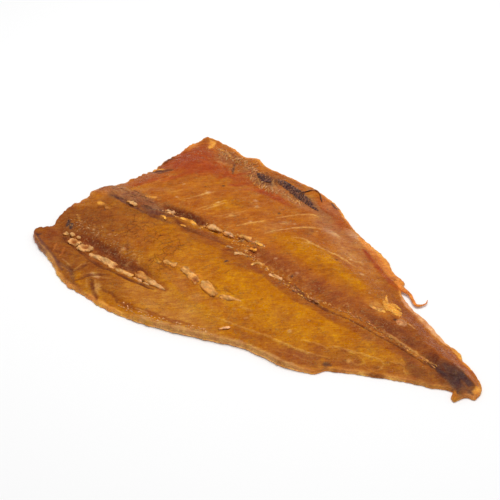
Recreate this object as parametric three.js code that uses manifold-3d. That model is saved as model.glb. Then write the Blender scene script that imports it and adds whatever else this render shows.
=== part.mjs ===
// A smoked fish without its head, split along the belly and opened flat, skin side down.
//
// Millimetres, +Z up. The plan is drawn with +X from the head cut to the tail and the
// backbone seam along the X axis; the whole is then moved so that its origin is the middle
// of the bounding box's lowest face.

import * as THREE from 'three';
import { mergeVertices } from 'three/addons/utils/BufferGeometryUtils.js';
import Module from 'manifold-3d';

// ---- Driving dimensions ----

const HEAD_X = -114; // mean place of the head cut
const TAIL_X = 127.4; // end of the tail stub
const HEAD_CORNER_LOW = -62.5; // Y of the cut's two corners
const HEAD_CORNER_HIGH = 65;
const HEAD_REACH = 30; // how far in the cut's raggedness moves the mesh

const MUSCLE_THIN = 5.6; // muscle height at both ends of the fish
const MUSCLE_RISE = 3.2; // extra height at mid-length
const MUSCLE_SPREAD = 88;
const MUSCLE_MID_X = 2;
const FLANK_START = 0.28; // share of the half-width where the flank starts to thin
const FLANK_FALL = 0.6; // share of the muscle height lost at the belly edge
const RIM_HEIGHT = 1.7; // top of the thin belly edge
const CUT_EDGE_RISE = 1.3; // how much thicker the sliced stretches of the lower edge are
const CUT_EDGE_STRETCHES = [[-122, -88], [-24, 58]];
const CUT_EDGE_RUN = 8;
const RIM_RUN = 4.5; // distance over which the edge swells into the flesh
const CUT_HEIGHT = 4.6; // height of the thicker head cut near the seam
const CUT_REACH = 7; // how far in and across the cut's extra height is felt
const CUT_SPREAD = 48;
const LIP_SHARE = 0.45; // the outermost line of the edge, as a share of the rim height
const SOLE_INSET = 0.4; // the flat sole starts this share of the way to the next ring

const SEAM_DEPTH = 2.4; // trench along the backbone
const SEAM_WIDTH = 3.2;
const SEAM_OPENS = [-95, -70]; // it deepens between these places along the fish
const GROOVE_DEPTH = 2.1; // trench that holds the outer row of bones
const GROOVE_WIDTH = 4.2;
const GROOVE_ENDS = [-112, -32];
const GROOVE_RUN = 9; // fade at both of its ends

// Mounds of the flesh: rise, then middle and spread along (x) and across (y).
const MOUNDS = [
  { rise: 1.8, x: 23, spreadX: 34, y: 14, spreadY: 11 }, // plump loin beside the seam
  { rise: 1.3, x: 12, spreadX: 62, y: -25, spreadY: 13 }, // and the one opposite
  { rise: 1.2, x: -92, spreadX: 16, y: 42, spreadY: 14 }, // thick shoulder at the cut
  { rise: 0.9, x: -64, spreadX: 34, y: -67, spreadY: 6 }, // rolled edge past the groove
  { rise: 0.8, x: 110, spreadX: 12, y: -4.6, spreadY: 6 }, // end of the backbone
];

// Fields of shallow muscle ripples: a wave along x that leans with y, between two places
// along and across the fish.
const RIPPLES = [
  { rise: 0.35, waveX: 2.1, waveY: 9, along: [-92, 4], across: [8, 52] },
  { rise: 0.4, waveX: 2.6, waveY: -4, along: [-106, -51], across: [-48, -17] },
];
const RIPPLE_RUN = 7;

const SEAT_GAP = 0.35; // clearance between a bone and its socket
const BONE_SIDES = 9;
const STRIP_SIDES = 8;

const ROWS_ALONG = 70; // mesh cells along and across the fish
const ROWS_ACROSS = 40;
const TAIL_CROWDING = 0.45; // how much closer the cells stand towards the tail

const FINISHES = {
  flesh: { color: 0xb06a1e, roughness: 0.4, metalness: 0 },
  bone: { color: 0xcf9d5c, roughness: 0.55, metalness: 0 },
};

// ---- Plan outline: each edge as points [x, y] joined by a smooth curve ----

const TOP_EDGE = [
  [-120, 64], [-106, 68], [-92, 68], [-84, 66], [-76, 70], [-66, 67.2], [-50, 68],
  [-33, 69], [-20, 67], [-9, 63], [0, 58], [12, 53], [22, 50], [36, 46], [46, 39.8],
  [54.6, 37.2], [55.6, 34.4], [58.4, 29.4], [62, 27.2], [72, 23], [79, 21.4], [90, 17],
  [97, 14], [105, 13.4], [109.5, 9.8], [118, 6.8], [123, 3.6], [126, 0.6], [TAIL_X, -2.4],
];

const BOTTOM_EDGE = [
  [-120, -59], [-114, -62.5], [-108, -67], [-95, -70.4], [-85, -73], [-75, -77.6],
  [-66, -79.2], [-52, -78.2], [-43, -78.6], [-30, -76.4], [-18, -73], [0, -66],
  [12, -60.5], [25, -54.6], [32, -52], [50, -49.4], [60, -45.6], [65, -42.2],
  [67, -38], [72, -34.4], [78, -30.2], [88, -24.4], [98, -18.6], [110, -13],
  [117.4, -9.2], [119.4, -13.2], [121.6, -13.8], [123, -9.4], [124.4, -7.8], [TAIL_X, -6.8],
];

// The head cut as points [y, x].
const HEAD_EDGE = [
  [-62.5, -114], [-58, -112.6], [-54, -111.4], [-51, -109.2], [-47, -111.4], [-42, -114],
  [-35, -116], [-28, -114.4], [-18, -119], [-12, -117], [-8, -113], [0, -112],
  [8, -112.6], [20, -109.4], [27, -112], [38, -112], [52, -115], [58, -113.6], [65, -114.4],
];

// ---- Small maths ----

const mix = (a, b, t) => a + (b - a) * t;
const bell = (distance, width) => Math.exp(-((distance / width) ** 2));

function step(low, high, value) {
  const t = Math.min(1, Math.max(0, (value - low) / (high - low)));
  return t * t * (3 - 2 * t);
}

// A window that is 1 between two places and fades out over a run at each side.
function windowed(value, low, high, run) {
  return step(low - run, low + run, value) * (1 - step(high - run, high + run, value));
}

// A smooth curve through points that never swings past them (monotone cubic).
function curveThrough(points) {
  const last = points.length - 1;
  const rise = (i) => (points[i + 1][1] - points[i][1]) / (points[i + 1][0] - points[i][0]);
  const tangents = points.map((_, i) => {
    if (i === 0) return rise(0);
    if (i === last) return rise(last - 1);
    const before = rise(i - 1);
    const after = rise(i);
    return before * after <= 0 ? 0 : (2 * before * after) / (before + after);
  });
  return (place) => {
    let i = 0;
    while (i < last - 1 && place > points[i + 1][0]) i += 1;
    const run = points[i + 1][0] - points[i][0];
    const t = Math.min(1, Math.max(0, (place - points[i][0]) / run));
    const bend = (2 * t - 3) * t * t;
    return (bend + 1) * points[i][1] - bend * points[i + 1][1]
      + run * t * (1 - t) * ((1 - t) * tangents[i] - t * tangents[i + 1]);
  };
}

// ---- The flesh ----

const topY = curveThrough(TOP_EDGE);
const bottomY = curveThrough(BOTTOM_EDGE);
const headX = curveThrough(HEAD_EDGE);
const seamY = curveThrough([
  [-109, -8.4], [-72, -4.4], [-26, -1.4], [4, -5.2], [24, -6.8], [54, -5.8], [102, -4.1], [124, -4.5],
]);
const grooveY = curveThrough([[-110, -54.8], [-88, -54.3], [-58, -53.8], [-26, -50.6]]);

// Plan point of the mesh: u runs from the head cut to the tail, v from edge to edge.
function planPoint(u, v) {
  const along = u * (1 + TAIL_CROWDING * (1 - u));
  const base = mix(HEAD_X, TAIL_X, along);
  const cutY = mix(HEAD_CORNER_LOW, HEAD_CORNER_HIGH, v);
  const fade = 1 - step(0, HEAD_REACH, base - HEAD_X);
  const x = base + (headX(cutY) - HEAD_X) * fade;
  return [x, mix(bottomY(x), topY(x), v)];
}

// Height of the top surface before its edge is thinned.
function muscleHeight(x, y) {
  const seam = seamY(x);
  const halfWidth = y > seam ? topY(x) - seam : seam - bottomY(x);
  const flank = 1 - FLANK_FALL * step(FLANK_START, 1, Math.abs(y - seam) / halfWidth);
  let height = (MUSCLE_THIN + MUSCLE_RISE * bell(x - MUSCLE_MID_X, MUSCLE_SPREAD)) * flank;
  height -= SEAM_DEPTH * bell(y - seam, SEAM_WIDTH) * step(...SEAM_OPENS, x);
  height -= GROOVE_DEPTH * bell(y - grooveY(x), GROOVE_WIDTH) * windowed(x, ...GROOVE_ENDS, GROOVE_RUN);
  MOUNDS.forEach((mound) => {
    height += mound.rise * bell(x - mound.x, mound.spreadX) * bell(y - mound.y, mound.spreadY);
  });
  RIPPLES.forEach(({ rise, waveX, waveY, along, across }) => {
    const field = windowed(x, ...along, RIPPLE_RUN) * windowed(y, ...across, RIPPLE_RUN);
    height += rise * Math.sin(x / waveX + y / waveY) * field;
  });
  return height;
}

function distanceToOutline(x, y) {
  let nearest = Infinity;
  OUTLINE.forEach(([ax, ay], i) => {
    const [bx, by] = OUTLINE[(i + 1) % OUTLINE.length];
    const [dx, dy] = [bx - ax, by - ay];
    const share = ((x - ax) * dx + (y - ay) * dy) / (dx * dx + dy * dy);
    const t = Math.min(1, Math.max(0, share));
    nearest = Math.min(nearest, Math.hypot(x - ax - t * dx, y - ay - t * dy));
  });
  return nearest;
}

function rimHeight(x, y) {
  const nearCut = bell(x - HEAD_X, CUT_REACH) * bell(y, CUT_SPREAD);
  let sliced = 0;
  if (y < seamY(x)) {
    CUT_EDGE_STRETCHES.forEach((ends) => {
      sliced = Math.max(sliced, windowed(x, ...ends, CUT_EDGE_RUN));
    });
  }
  return mix(RIM_HEIGHT + CUT_EDGE_RISE * sliced, CUT_HEIGHT, nearCut);
}

// The grid places on the border, in order around the fish.
function borderCells() {
  const cells = [];
  for (let i = 0; i < ROWS_ALONG; i += 1) cells.push([i, 0]);
  for (let j = 0; j < ROWS_ACROSS; j += 1) cells.push([ROWS_ALONG, j]);
  for (let i = ROWS_ALONG; i > 0; i -= 1) cells.push([i, ROWS_ACROSS]);
  for (let j = ROWS_ACROSS; j > 0; j -= 1) cells.push([0, j]);
  return cells;
}

const BORDER = borderCells();
const OUTLINE = BORDER.map(([i, j]) => planPoint(i / ROWS_ALONG, j / ROWS_ACROSS));

function fleshHeight(x, y) {
  const inward = 1 - Math.exp(-distanceToOutline(x, y) / RIM_RUN);
  return mix(rimHeight(x, y), Math.max(muscleHeight(x, y), RIM_HEIGHT), inward);
}

// One closed body: the uneven top, a rounded lip all round and a flat sole.
function fleshGeometry() {
  const positions = [];
  const faces = [];
  const columns = ROWS_ACROSS + 1;
  const index = (i, j) => i * columns + j;
  for (let i = 0; i <= ROWS_ALONG; i += 1) {
    for (let j = 0; j <= ROWS_ACROSS; j += 1) {
      const [x, y] = planPoint(i / ROWS_ALONG, j / ROWS_ACROSS);
      const onBorder = i === 0 || j === 0 || i === ROWS_ALONG || j === ROWS_ACROSS;
      positions.push(x, y, onBorder ? rimHeight(x, y) * LIP_SHARE : fleshHeight(x, y));
    }
  }
  for (let i = 0; i < ROWS_ALONG; i += 1) {
    for (let j = 0; j < ROWS_ACROSS; j += 1) {
      const [a, b, c, d] = [index(i, j), index(i + 1, j), index(i + 1, j + 1), index(i, j + 1)];
      faces.push(a, b, c, a, c, d);
    }
  }
  const soleStart = positions.length / 3;
  const sole = BORDER.map(([i, j], n) => {
    const innerI = Math.min(ROWS_ALONG - 1, Math.max(1, i));
    const innerJ = Math.min(ROWS_ACROSS - 1, Math.max(1, j));
    const inner = planPoint(innerI / ROWS_ALONG, innerJ / ROWS_ACROSS);
    const [x, y] = OUTLINE[n];
    return new THREE.Vector2(mix(x, inner[0], SOLE_INSET), mix(y, inner[1], SOLE_INSET));
  });
  sole.forEach((p) => positions.push(p.x, p.y, 0));
  BORDER.forEach(([i, j], n) => {
    const m = (n + 1) % BORDER.length;
    const [here, next] = [index(i, j), index(...BORDER[m])];
    faces.push(here, soleStart + n, soleStart + m, here, soleStart + m, next);
  });
  THREE.ShapeUtils.triangulateShape(sole, []).forEach(([a, b, c]) => {
    faces.push(soleStart + a, soleStart + c, soleStart + b);
  });
  return indexedGeometry(positions, faces);
}

function indexedGeometry(positions, faces) {
  const geometry = new THREE.BufferGeometry();
  geometry.setAttribute('position', new THREE.Float32BufferAttribute(positions, 3));
  geometry.setIndex(faces);
  return geometry;
}

// ---- Bones and the torn strip of skin: tapering rods along a curve ----

// A station is [x, y, z, halfWidth, halfHeight]; the rod is round-ended.
function rodGeometry(stations, sides) {
  const positions = [];
  const faces = [];
  const last = stations.length - 1;
  stations.forEach(([x, y, z, halfWidth, halfHeight], i) => {
    const [ax, ay] = stations[Math.max(0, i - 1)];
    const [bx, by] = stations[Math.min(last, i + 1)];
    const run = Math.hypot(bx - ax, by - ay);
    const [sideX, sideY] = [-(by - ay) / run, (bx - ax) / run];
    for (let k = 0; k < sides; k += 1) {
      const angle = (2 * Math.PI * k) / sides;
      const out = Math.cos(angle) * halfWidth;
      positions.push(x + sideX * out, y + sideY * out, z + Math.sin(angle) * halfHeight);
    }
  });
  for (let i = 0; i < last; i += 1) {
    for (let k = 0; k < sides; k += 1) {
      const n = (k + 1) % sides;
      const [a, b, c, d] = [i * sides + k, i * sides + n, (i + 1) * sides + n, (i + 1) * sides + k];
      faces.push(a, b, c, a, c, d);
    }
  }
  [0, last].forEach((i) => {
    const tip = positions.length / 3;
    positions.push(...stations[i].slice(0, 3));
    for (let k = 0; k < sides; k += 1) {
      const [here, next] = [i * sides + k, i * sides + ((k + 1) % sides)];
      faces.push(...(i === 0 ? [tip, next, here] : [tip, here, next]));
    }
  });
  return indexedGeometry(positions, faces);
}

// Each bone: its two ends in plan, its width and height, how much of it stands proud of the
// flesh, and its outline as half-widths [share of the length, share of the width].
const ROUND = [[0, 0.35], [0.12, 0.8], [0.35, 1], [0.65, 1], [0.88, 0.8], [1, 0.35]];
const FLARED = [[0, 0.25], [0.25, 0.55], [0.5, 0.72], [0.8, 1], [0.93, 1], [1, 0.7]];
const SPIKE = [[0, 0.55], [0.06, 0.95], [0.25, 1], [0.6, 0.62], [0.9, 0.3], [1, 0.12]];

const BONES = [
  { name: 'bone_outer_1', from: [-96.5, -54.2], to: [-85.5, -57.2], width: 4.4, height: 3.4, shape: ROUND },
  { name: 'bone_outer_2', from: [-84.5, -55], to: [-76.1, -55], width: 6.6, height: 4.4, shape: ROUND },
  { name: 'bone_outer_3', from: [-73.5, -57], to: [-57.9, -55], width: 6, height: 4.2, shape: FLARED },
  { name: 'bone_outer_4', from: [-56.1, -55.4], to: [-46.9, -54.8], width: 3, height: 2.6, shape: ROUND },
  { name: 'bone_outer_5', from: [-45.8, -50.2], to: [-24.4, -51.4], width: 4.6, height: 3.6, shape: SPIKE },
  { name: 'bone_inner_1', from: [-28.6, -36.8], to: [-14.6, -39.6], width: 5.2, height: 3.6, shape: FLARED },
  { name: 'bone_inner_2', from: [-13.4, -37.8], to: [-1, -39], width: 6, height: 3.8, shape: ROUND },
  { name: 'bone_inner_3', from: [0.8, -38.2], to: [11.6, -34.8], width: 3.8, height: 2.8, shape: SPIKE },
];
const BONE_STATIONS = 10;
const FLATTEST_SHARE = 0.5; // a bone's height at its ends, as a share of its full height
const PROUD_SHARE = 0.3; // share of a bone's half-height by which its axis clears the flesh
const END_ROUNDING = 0.02; // first and last stations, as a share of the length

function boneGeometry({ from, to, width, height, shape }, grow) {
  const outline = curveThrough(shape);
  const stations = [];
  const length = Math.hypot(to[0] - from[0], to[1] - from[1]);
  for (let n = 0; n <= BONE_STATIONS; n += 1) {
    const share = 0.5 - 0.5 * Math.cos((Math.PI * n) / BONE_STATIONS);
    const stretched = mix(-grow / length, 1 + grow / length, share);
    const x = mix(from[0], to[0], stretched);
    const y = mix(from[1], to[1], stretched);
    const fullness = outline(mix(END_ROUNDING, 1 - END_ROUNDING, share));
    const z = fleshHeight(mix(from[0], to[0], share), mix(from[1], to[1], share));
    stations.push([
      x,
      y,
      z + (PROUD_SHARE * height) / 2,
      (fullness * width) / 2 + grow,
      (mix(FLATTEST_SHARE, 1, fullness) * height) / 2 + grow,
    ]);
  }
  return rodGeometry(stations, BONE_SIDES);
}

// The strip of skin torn loose behind the notch of the upper edge, ending in a hook.
const STRIP_ROUTE = [
  [51.5, 33.6, 2.1], [57, 32, 1.9], [62, 31.3, 1.6], [65.6, 29.2, 1.35], [69, 27.4, 1.2],
  [71, 29.2, 1.1], [71.7, 31.8, 1.0], [70.6, 34.6, 0.9],
];
const STRIP_HALF_WIDTH = [[0, 1.7], [0.25, 1.35], [0.5, 0.95], [0.7, 0.9], [0.85, 0.6], [1, 0.32]];
const STRIP_STATIONS = 18;
const STRIP_THICKNESS_SHARE = 0.6;

function stripGeometry() {
  const route = new THREE.CatmullRomCurve3(STRIP_ROUTE.map((p) => new THREE.Vector3(...p)));
  const halfWidth = curveThrough(STRIP_HALF_WIDTH);
  const stations = [];
  for (let n = 0; n <= STRIP_STATIONS; n += 1) {
    const share = n / STRIP_STATIONS;
    const p = route.getPointAt(share);
    const half = halfWidth(share);
    stations.push([p.x, p.y, p.z, half, half * STRIP_THICKNESS_SHARE]);
  }
  return rodGeometry(stations, STRIP_SIDES);
}

// ---- Joining and cutting ----

const wasm = await Module();
wasm.setup();

function toSolid(geometry) {
  const plain = mergeVertices(geometry);
  return new wasm.Manifold(new wasm.Mesh({
    numProp: 3,
    vertProperties: Float32Array.from(plain.attributes.position.array),
    triVerts: Uint32Array.from(plain.index.array),
  }));
}

function toGeometry(solid) {
  const { vertProperties, triVerts } = solid.getMesh();
  return indexedGeometry(Array.from(vertProperties), Array.from(triVerts));
}

// ---- Assembly ----

function addPiece(group, name, geometry, finish) {
  geometry.computeVertexNormals();
  const mesh = new THREE.Mesh(geometry, new THREE.MeshStandardMaterial(finish));
  mesh.name = name;
  group.add(mesh);
}

const fish = new THREE.Group();

let flesh = toSolid(fleshGeometry()).add(toSolid(stripGeometry()));
BONES.forEach((bone) => {
  flesh = flesh.subtract(toSolid(boneGeometry(bone, SEAT_GAP)));
  addPiece(fish, bone.name, boneGeometry(bone, 0), FINISHES.bone);
});
addPiece(fish, 'flesh', toGeometry(flesh), FINISHES.flesh);

const middle = new THREE.Box3().setFromObject(fish).getCenter(new THREE.Vector3());
fish.position.set(-middle.x, -middle.y, 0);

export default fish;
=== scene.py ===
"""A smoked fish without its head, split along the belly and opened flat on a pale floor.

Everything is laid out in millimetres on one drawing plan: +X runs from the head cut to the
tail, +Y across the fish, and heights are above the floor. The plan's origin lies near the
backbone seam. to_metres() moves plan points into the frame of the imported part.
"""

import math
from collections import namedtuple

import bpy
import numpy as np
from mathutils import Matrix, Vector, geometry, kdtree


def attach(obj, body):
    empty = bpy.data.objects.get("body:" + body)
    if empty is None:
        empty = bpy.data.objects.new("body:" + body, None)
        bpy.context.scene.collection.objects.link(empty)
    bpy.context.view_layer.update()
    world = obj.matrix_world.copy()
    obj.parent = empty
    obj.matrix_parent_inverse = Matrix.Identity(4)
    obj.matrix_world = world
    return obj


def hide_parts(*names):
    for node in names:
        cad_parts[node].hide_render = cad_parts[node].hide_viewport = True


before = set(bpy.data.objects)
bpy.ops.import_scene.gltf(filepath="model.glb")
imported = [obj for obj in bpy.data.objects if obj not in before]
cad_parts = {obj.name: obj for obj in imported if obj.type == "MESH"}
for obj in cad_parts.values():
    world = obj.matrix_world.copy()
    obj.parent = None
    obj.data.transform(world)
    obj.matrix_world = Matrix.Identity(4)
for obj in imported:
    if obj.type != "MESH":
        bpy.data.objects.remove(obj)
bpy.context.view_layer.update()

# ---- Driving dimensions of the body, as in the part (mm) ----

HEAD_X = -114
TAIL_X = 127.4
HEAD_CORNERS = (-62.5, 65)
HEAD_REACH = 30
MUSCLE_THIN = 5.6
MUSCLE_RISE = 3.2
MUSCLE_SPREAD = 88
MUSCLE_MID_X = 2
FLANK_START = 0.28
FLANK_FALL = 0.6
RIM_HEIGHT = 1.7
CUT_EDGE_RISE = 1.3
CUT_EDGE_STRETCHES = ((-122, -88), (-24, 58))
CUT_EDGE_RUN = 8
RIM_RUN = 4.5
CUT_HEIGHT = 4.6
CUT_REACH = 7
CUT_SPREAD = 48
LIP_SHARE = 0.45
LIP_RUN = 0.55
SEAM_DEPTH = 2.4
SEAM_WIDTH = 3.2
SEAM_OPENS = (-95, -70)
GROOVE_DEPTH = 2.1
GROOVE_WIDTH = 4.2
GROOVE_ENDS = (-112, -32)
GROOVE_RUN = 9
TAIL_CROWDING = 0.3

# The part's origin on the plan, and the camera's place and target there, with its angle of
# view in degrees.
PLAN_TO_PART = np.array((4.2, -4.59, 0))
CAMERA_PLACE = (320.8, -354.8, 374.5)
CAMERA_TARGET = (-21.4, 5.36, -0.2)
CAMERA_FOV = 23.5

# Looks that are laid out in mm: the size of the creases' cells, where along the fish the
# head's lower corner stops being browned, where the upper edge is torn, and how far bands
# stray, as a share of how far regions do.
CREASE_CELL = 9
BROWNED_EDGE = (-108, -92)
TORN_EDGE = (62, 100)
BAND_STRAY = 0.3

# The visual mesh: its cells over the top, the spacing of the sole, and the wall of the edge.
CELLS_ALONG = 380
CELLS_ACROSS = 196
EDGE_CROWDING = 0.35
SOLE_SPACING = 1.45
SOLE_MARGIN = 0.8
FOOT_HEIGHT = 0.15
WALL_SHARES = (0.3, 0.7)
WALL_BULGE = 0.28
# How much the wall's tint is lifted above the lip's: painted light.
WALL_PAINTED_LIGHT_GAIN = 1.3
OUTLINE_SPACING = 0.25

TOP_EDGE = [
    (-120, 64), (-106, 68), (-92, 68), (-84, 66), (-76, 70), (-66, 67.2), (-50, 68),
    (-33, 69), (-20, 67), (-9, 63), (0, 58), (12, 53), (22, 50), (36, 46), (46, 39.8),
    (54.6, 37.2), (55.6, 34.4), (58.4, 29.4), (62, 27.2), (72, 23), (79, 21.4), (90, 17),
    (97, 14), (105, 13.4), (109.5, 9.8), (118, 6.8), (123, 3.6), (126, 0.6), (TAIL_X, -2.4),
]
BOTTOM_EDGE = [
    (-120, -59), (-114, -62.5), (-108, -67), (-95, -70.4), (-85, -73), (-75, -77.6),
    (-66, -79.2), (-52, -78.2), (-43, -78.6), (-30, -76.4), (-18, -73), (0, -66),
    (12, -60.5), (25, -54.6), (32, -52), (50, -49.4), (60, -45.6), (65, -42.2),
    (67, -38), (72, -34.4), (78, -30.2), (88, -24.4), (98, -18.6), (110, -13),
    (117.4, -9.2), (119.4, -13.2), (121.6, -13.8), (123, -9.4), (124.4, -7.8), (TAIL_X, -6.8),
]
# The head cut as (y, x).
HEAD_EDGE = [
    (-62.5, -114), (-58, -112.6), (-54, -111.4), (-51, -109.2), (-47, -111.4), (-42, -114),
    (-35, -116), (-28, -114.4), (-19, -117.6), (-13, -116), (-8, -113), (0, -111),
    (8, -110.6), (18, -108.4), (27, -111.4), (38, -112), (52, -115), (58, -113.6), (65, -114.4),
]
SEAM_LINE = [
    (-109, -8.4), (-72, -4.4), (-26, -1.4), (4, -5.2), (24, -6.8), (54, -5.8), (102, -4.1),
    (124, -4.5),
]
GROOVE_LINE = [(-110, -54.8), (-88, -54.3), (-58, -53.8), (-26, -50.6)]

Mound = namedtuple("Mound", "rise x spread_x y spread_y")
MOUNDS = [
    Mound(1.8, 23, 34, 14, 11),  # plump loin beside the seam
    Mound(1.3, 12, 62, -25, 13),  # and the one opposite
    Mound(1.2, -92, 16, 42, 14),  # thick shoulder at the cut
    Mound(0.9, -64, 34, -67, 6),  # rolled edge past the groove
    Mound(0.8, 110, 12, -4.6, 6),  # end of the backbone
]

# ---- Colours of the flesh, as 8-bit sRGB ----

TONES = {
    "amber": (181, 103, 26),
    "gold": (189, 112, 2),
    "honey": (200, 124, 0),
    "toast": (146, 78, 26),
    "rust": (150, 76, 32),
    "umber": (112, 54, 26),
    "wine": (130, 58, 22),
    "red": (164, 68, 27),
    "rosy": (186, 118, 72),
    "plum": (112, 66, 54),
    "ash": (152, 98, 68),
    "char": (78, 52, 50),
    "straw": (212, 148, 76),
    "pale": (214, 158, 108),
    "bone": (216, 160, 98),
    "flame": (222, 130, 54),
    "glow": (240, 164, 66),
    "shell": (234, 168, 116),
    "hide": (196, 138, 78),
    "bone_highlight_tone": (244, 200, 146),
    # The flesh's broad colour above the seam, and below it from the head to the tail.
    "upper": (180, 99, 28),
    "lower_head": (150, 84, 28),
    "lower_mid": (187, 111, 6),
    "lower_tail": (177, 103, 30),
    # The skin underneath.
    "back": (84, 56, 30),
    "flank": (142, 96, 44),
    "belly": (182, 134, 70),
    "bar": (60, 40, 26),
}

# Uneven patches all over the flesh, under its marks: tone, strength, size in mm and seed.
MOTTLES = (
    ("rust", 0.26, 7, 301),
    ("umber", 0.07, 3.4, 307),
    ("gold", 0.2, 9, 311),
    ("straw", 0.09, 3, 313),
)

# How strongly each kind of mark tints the flesh, and the tone and strength round each bone: painted
# shadow round a proud bone, a faint straw tint round a sunken one.
SPOT_STRENGTH = 0.75
# The creases' dark tint is painted shade.
CREASE_SHADE_STRENGTH = 0.25
# The speckles' pale tint is painted highlight.
SPECKLE_HIGHLIGHT_STRENGTH = 0.5
BONE_PAINTED_SHADOW = ("rust", 0.6)
SUNKEN_HALO = ("straw", 0.15)
REDDER_WHEN_DARK = (0.7, 1.3, 1)  # per channel, so that what darkens also turns redder

# Reliefs in mm.
FIBRE_RELIEF = 0.07
CREASE_DEPTH = 0.14
SPECK_DEPTH = 0.15
GLINT_RISE = 0.3
HALO_DEPTH = 0.4
SPECKLE_RISE = 0.25

# Linear colours inside the flesh's material: painted highlights on the beads and wrinkles, and painted
# shade in the creases.
BEAD_HIGHLIGHT_COLOUR = (0.7, 0.4, 0.17)
CREASE_SHADE_COLOUR = (0.13, 0.035, 0.01)
WRINKLE_HIGHLIGHT_COLOUR = (0.66, 0.36, 0.13)

# ---- Marks on the flesh, placed on the plan ----
#
# Reaches, widths and radii in mm, turns in degrees, relief in mm up from the flesh round it.

Region = namedtuple("Region", "x y along across turn tone strength")
Stroke = namedtuple("Stroke", "points half_width tone strength relief")
Spot = namedtuple("Spot", "x y radius tone")

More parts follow.
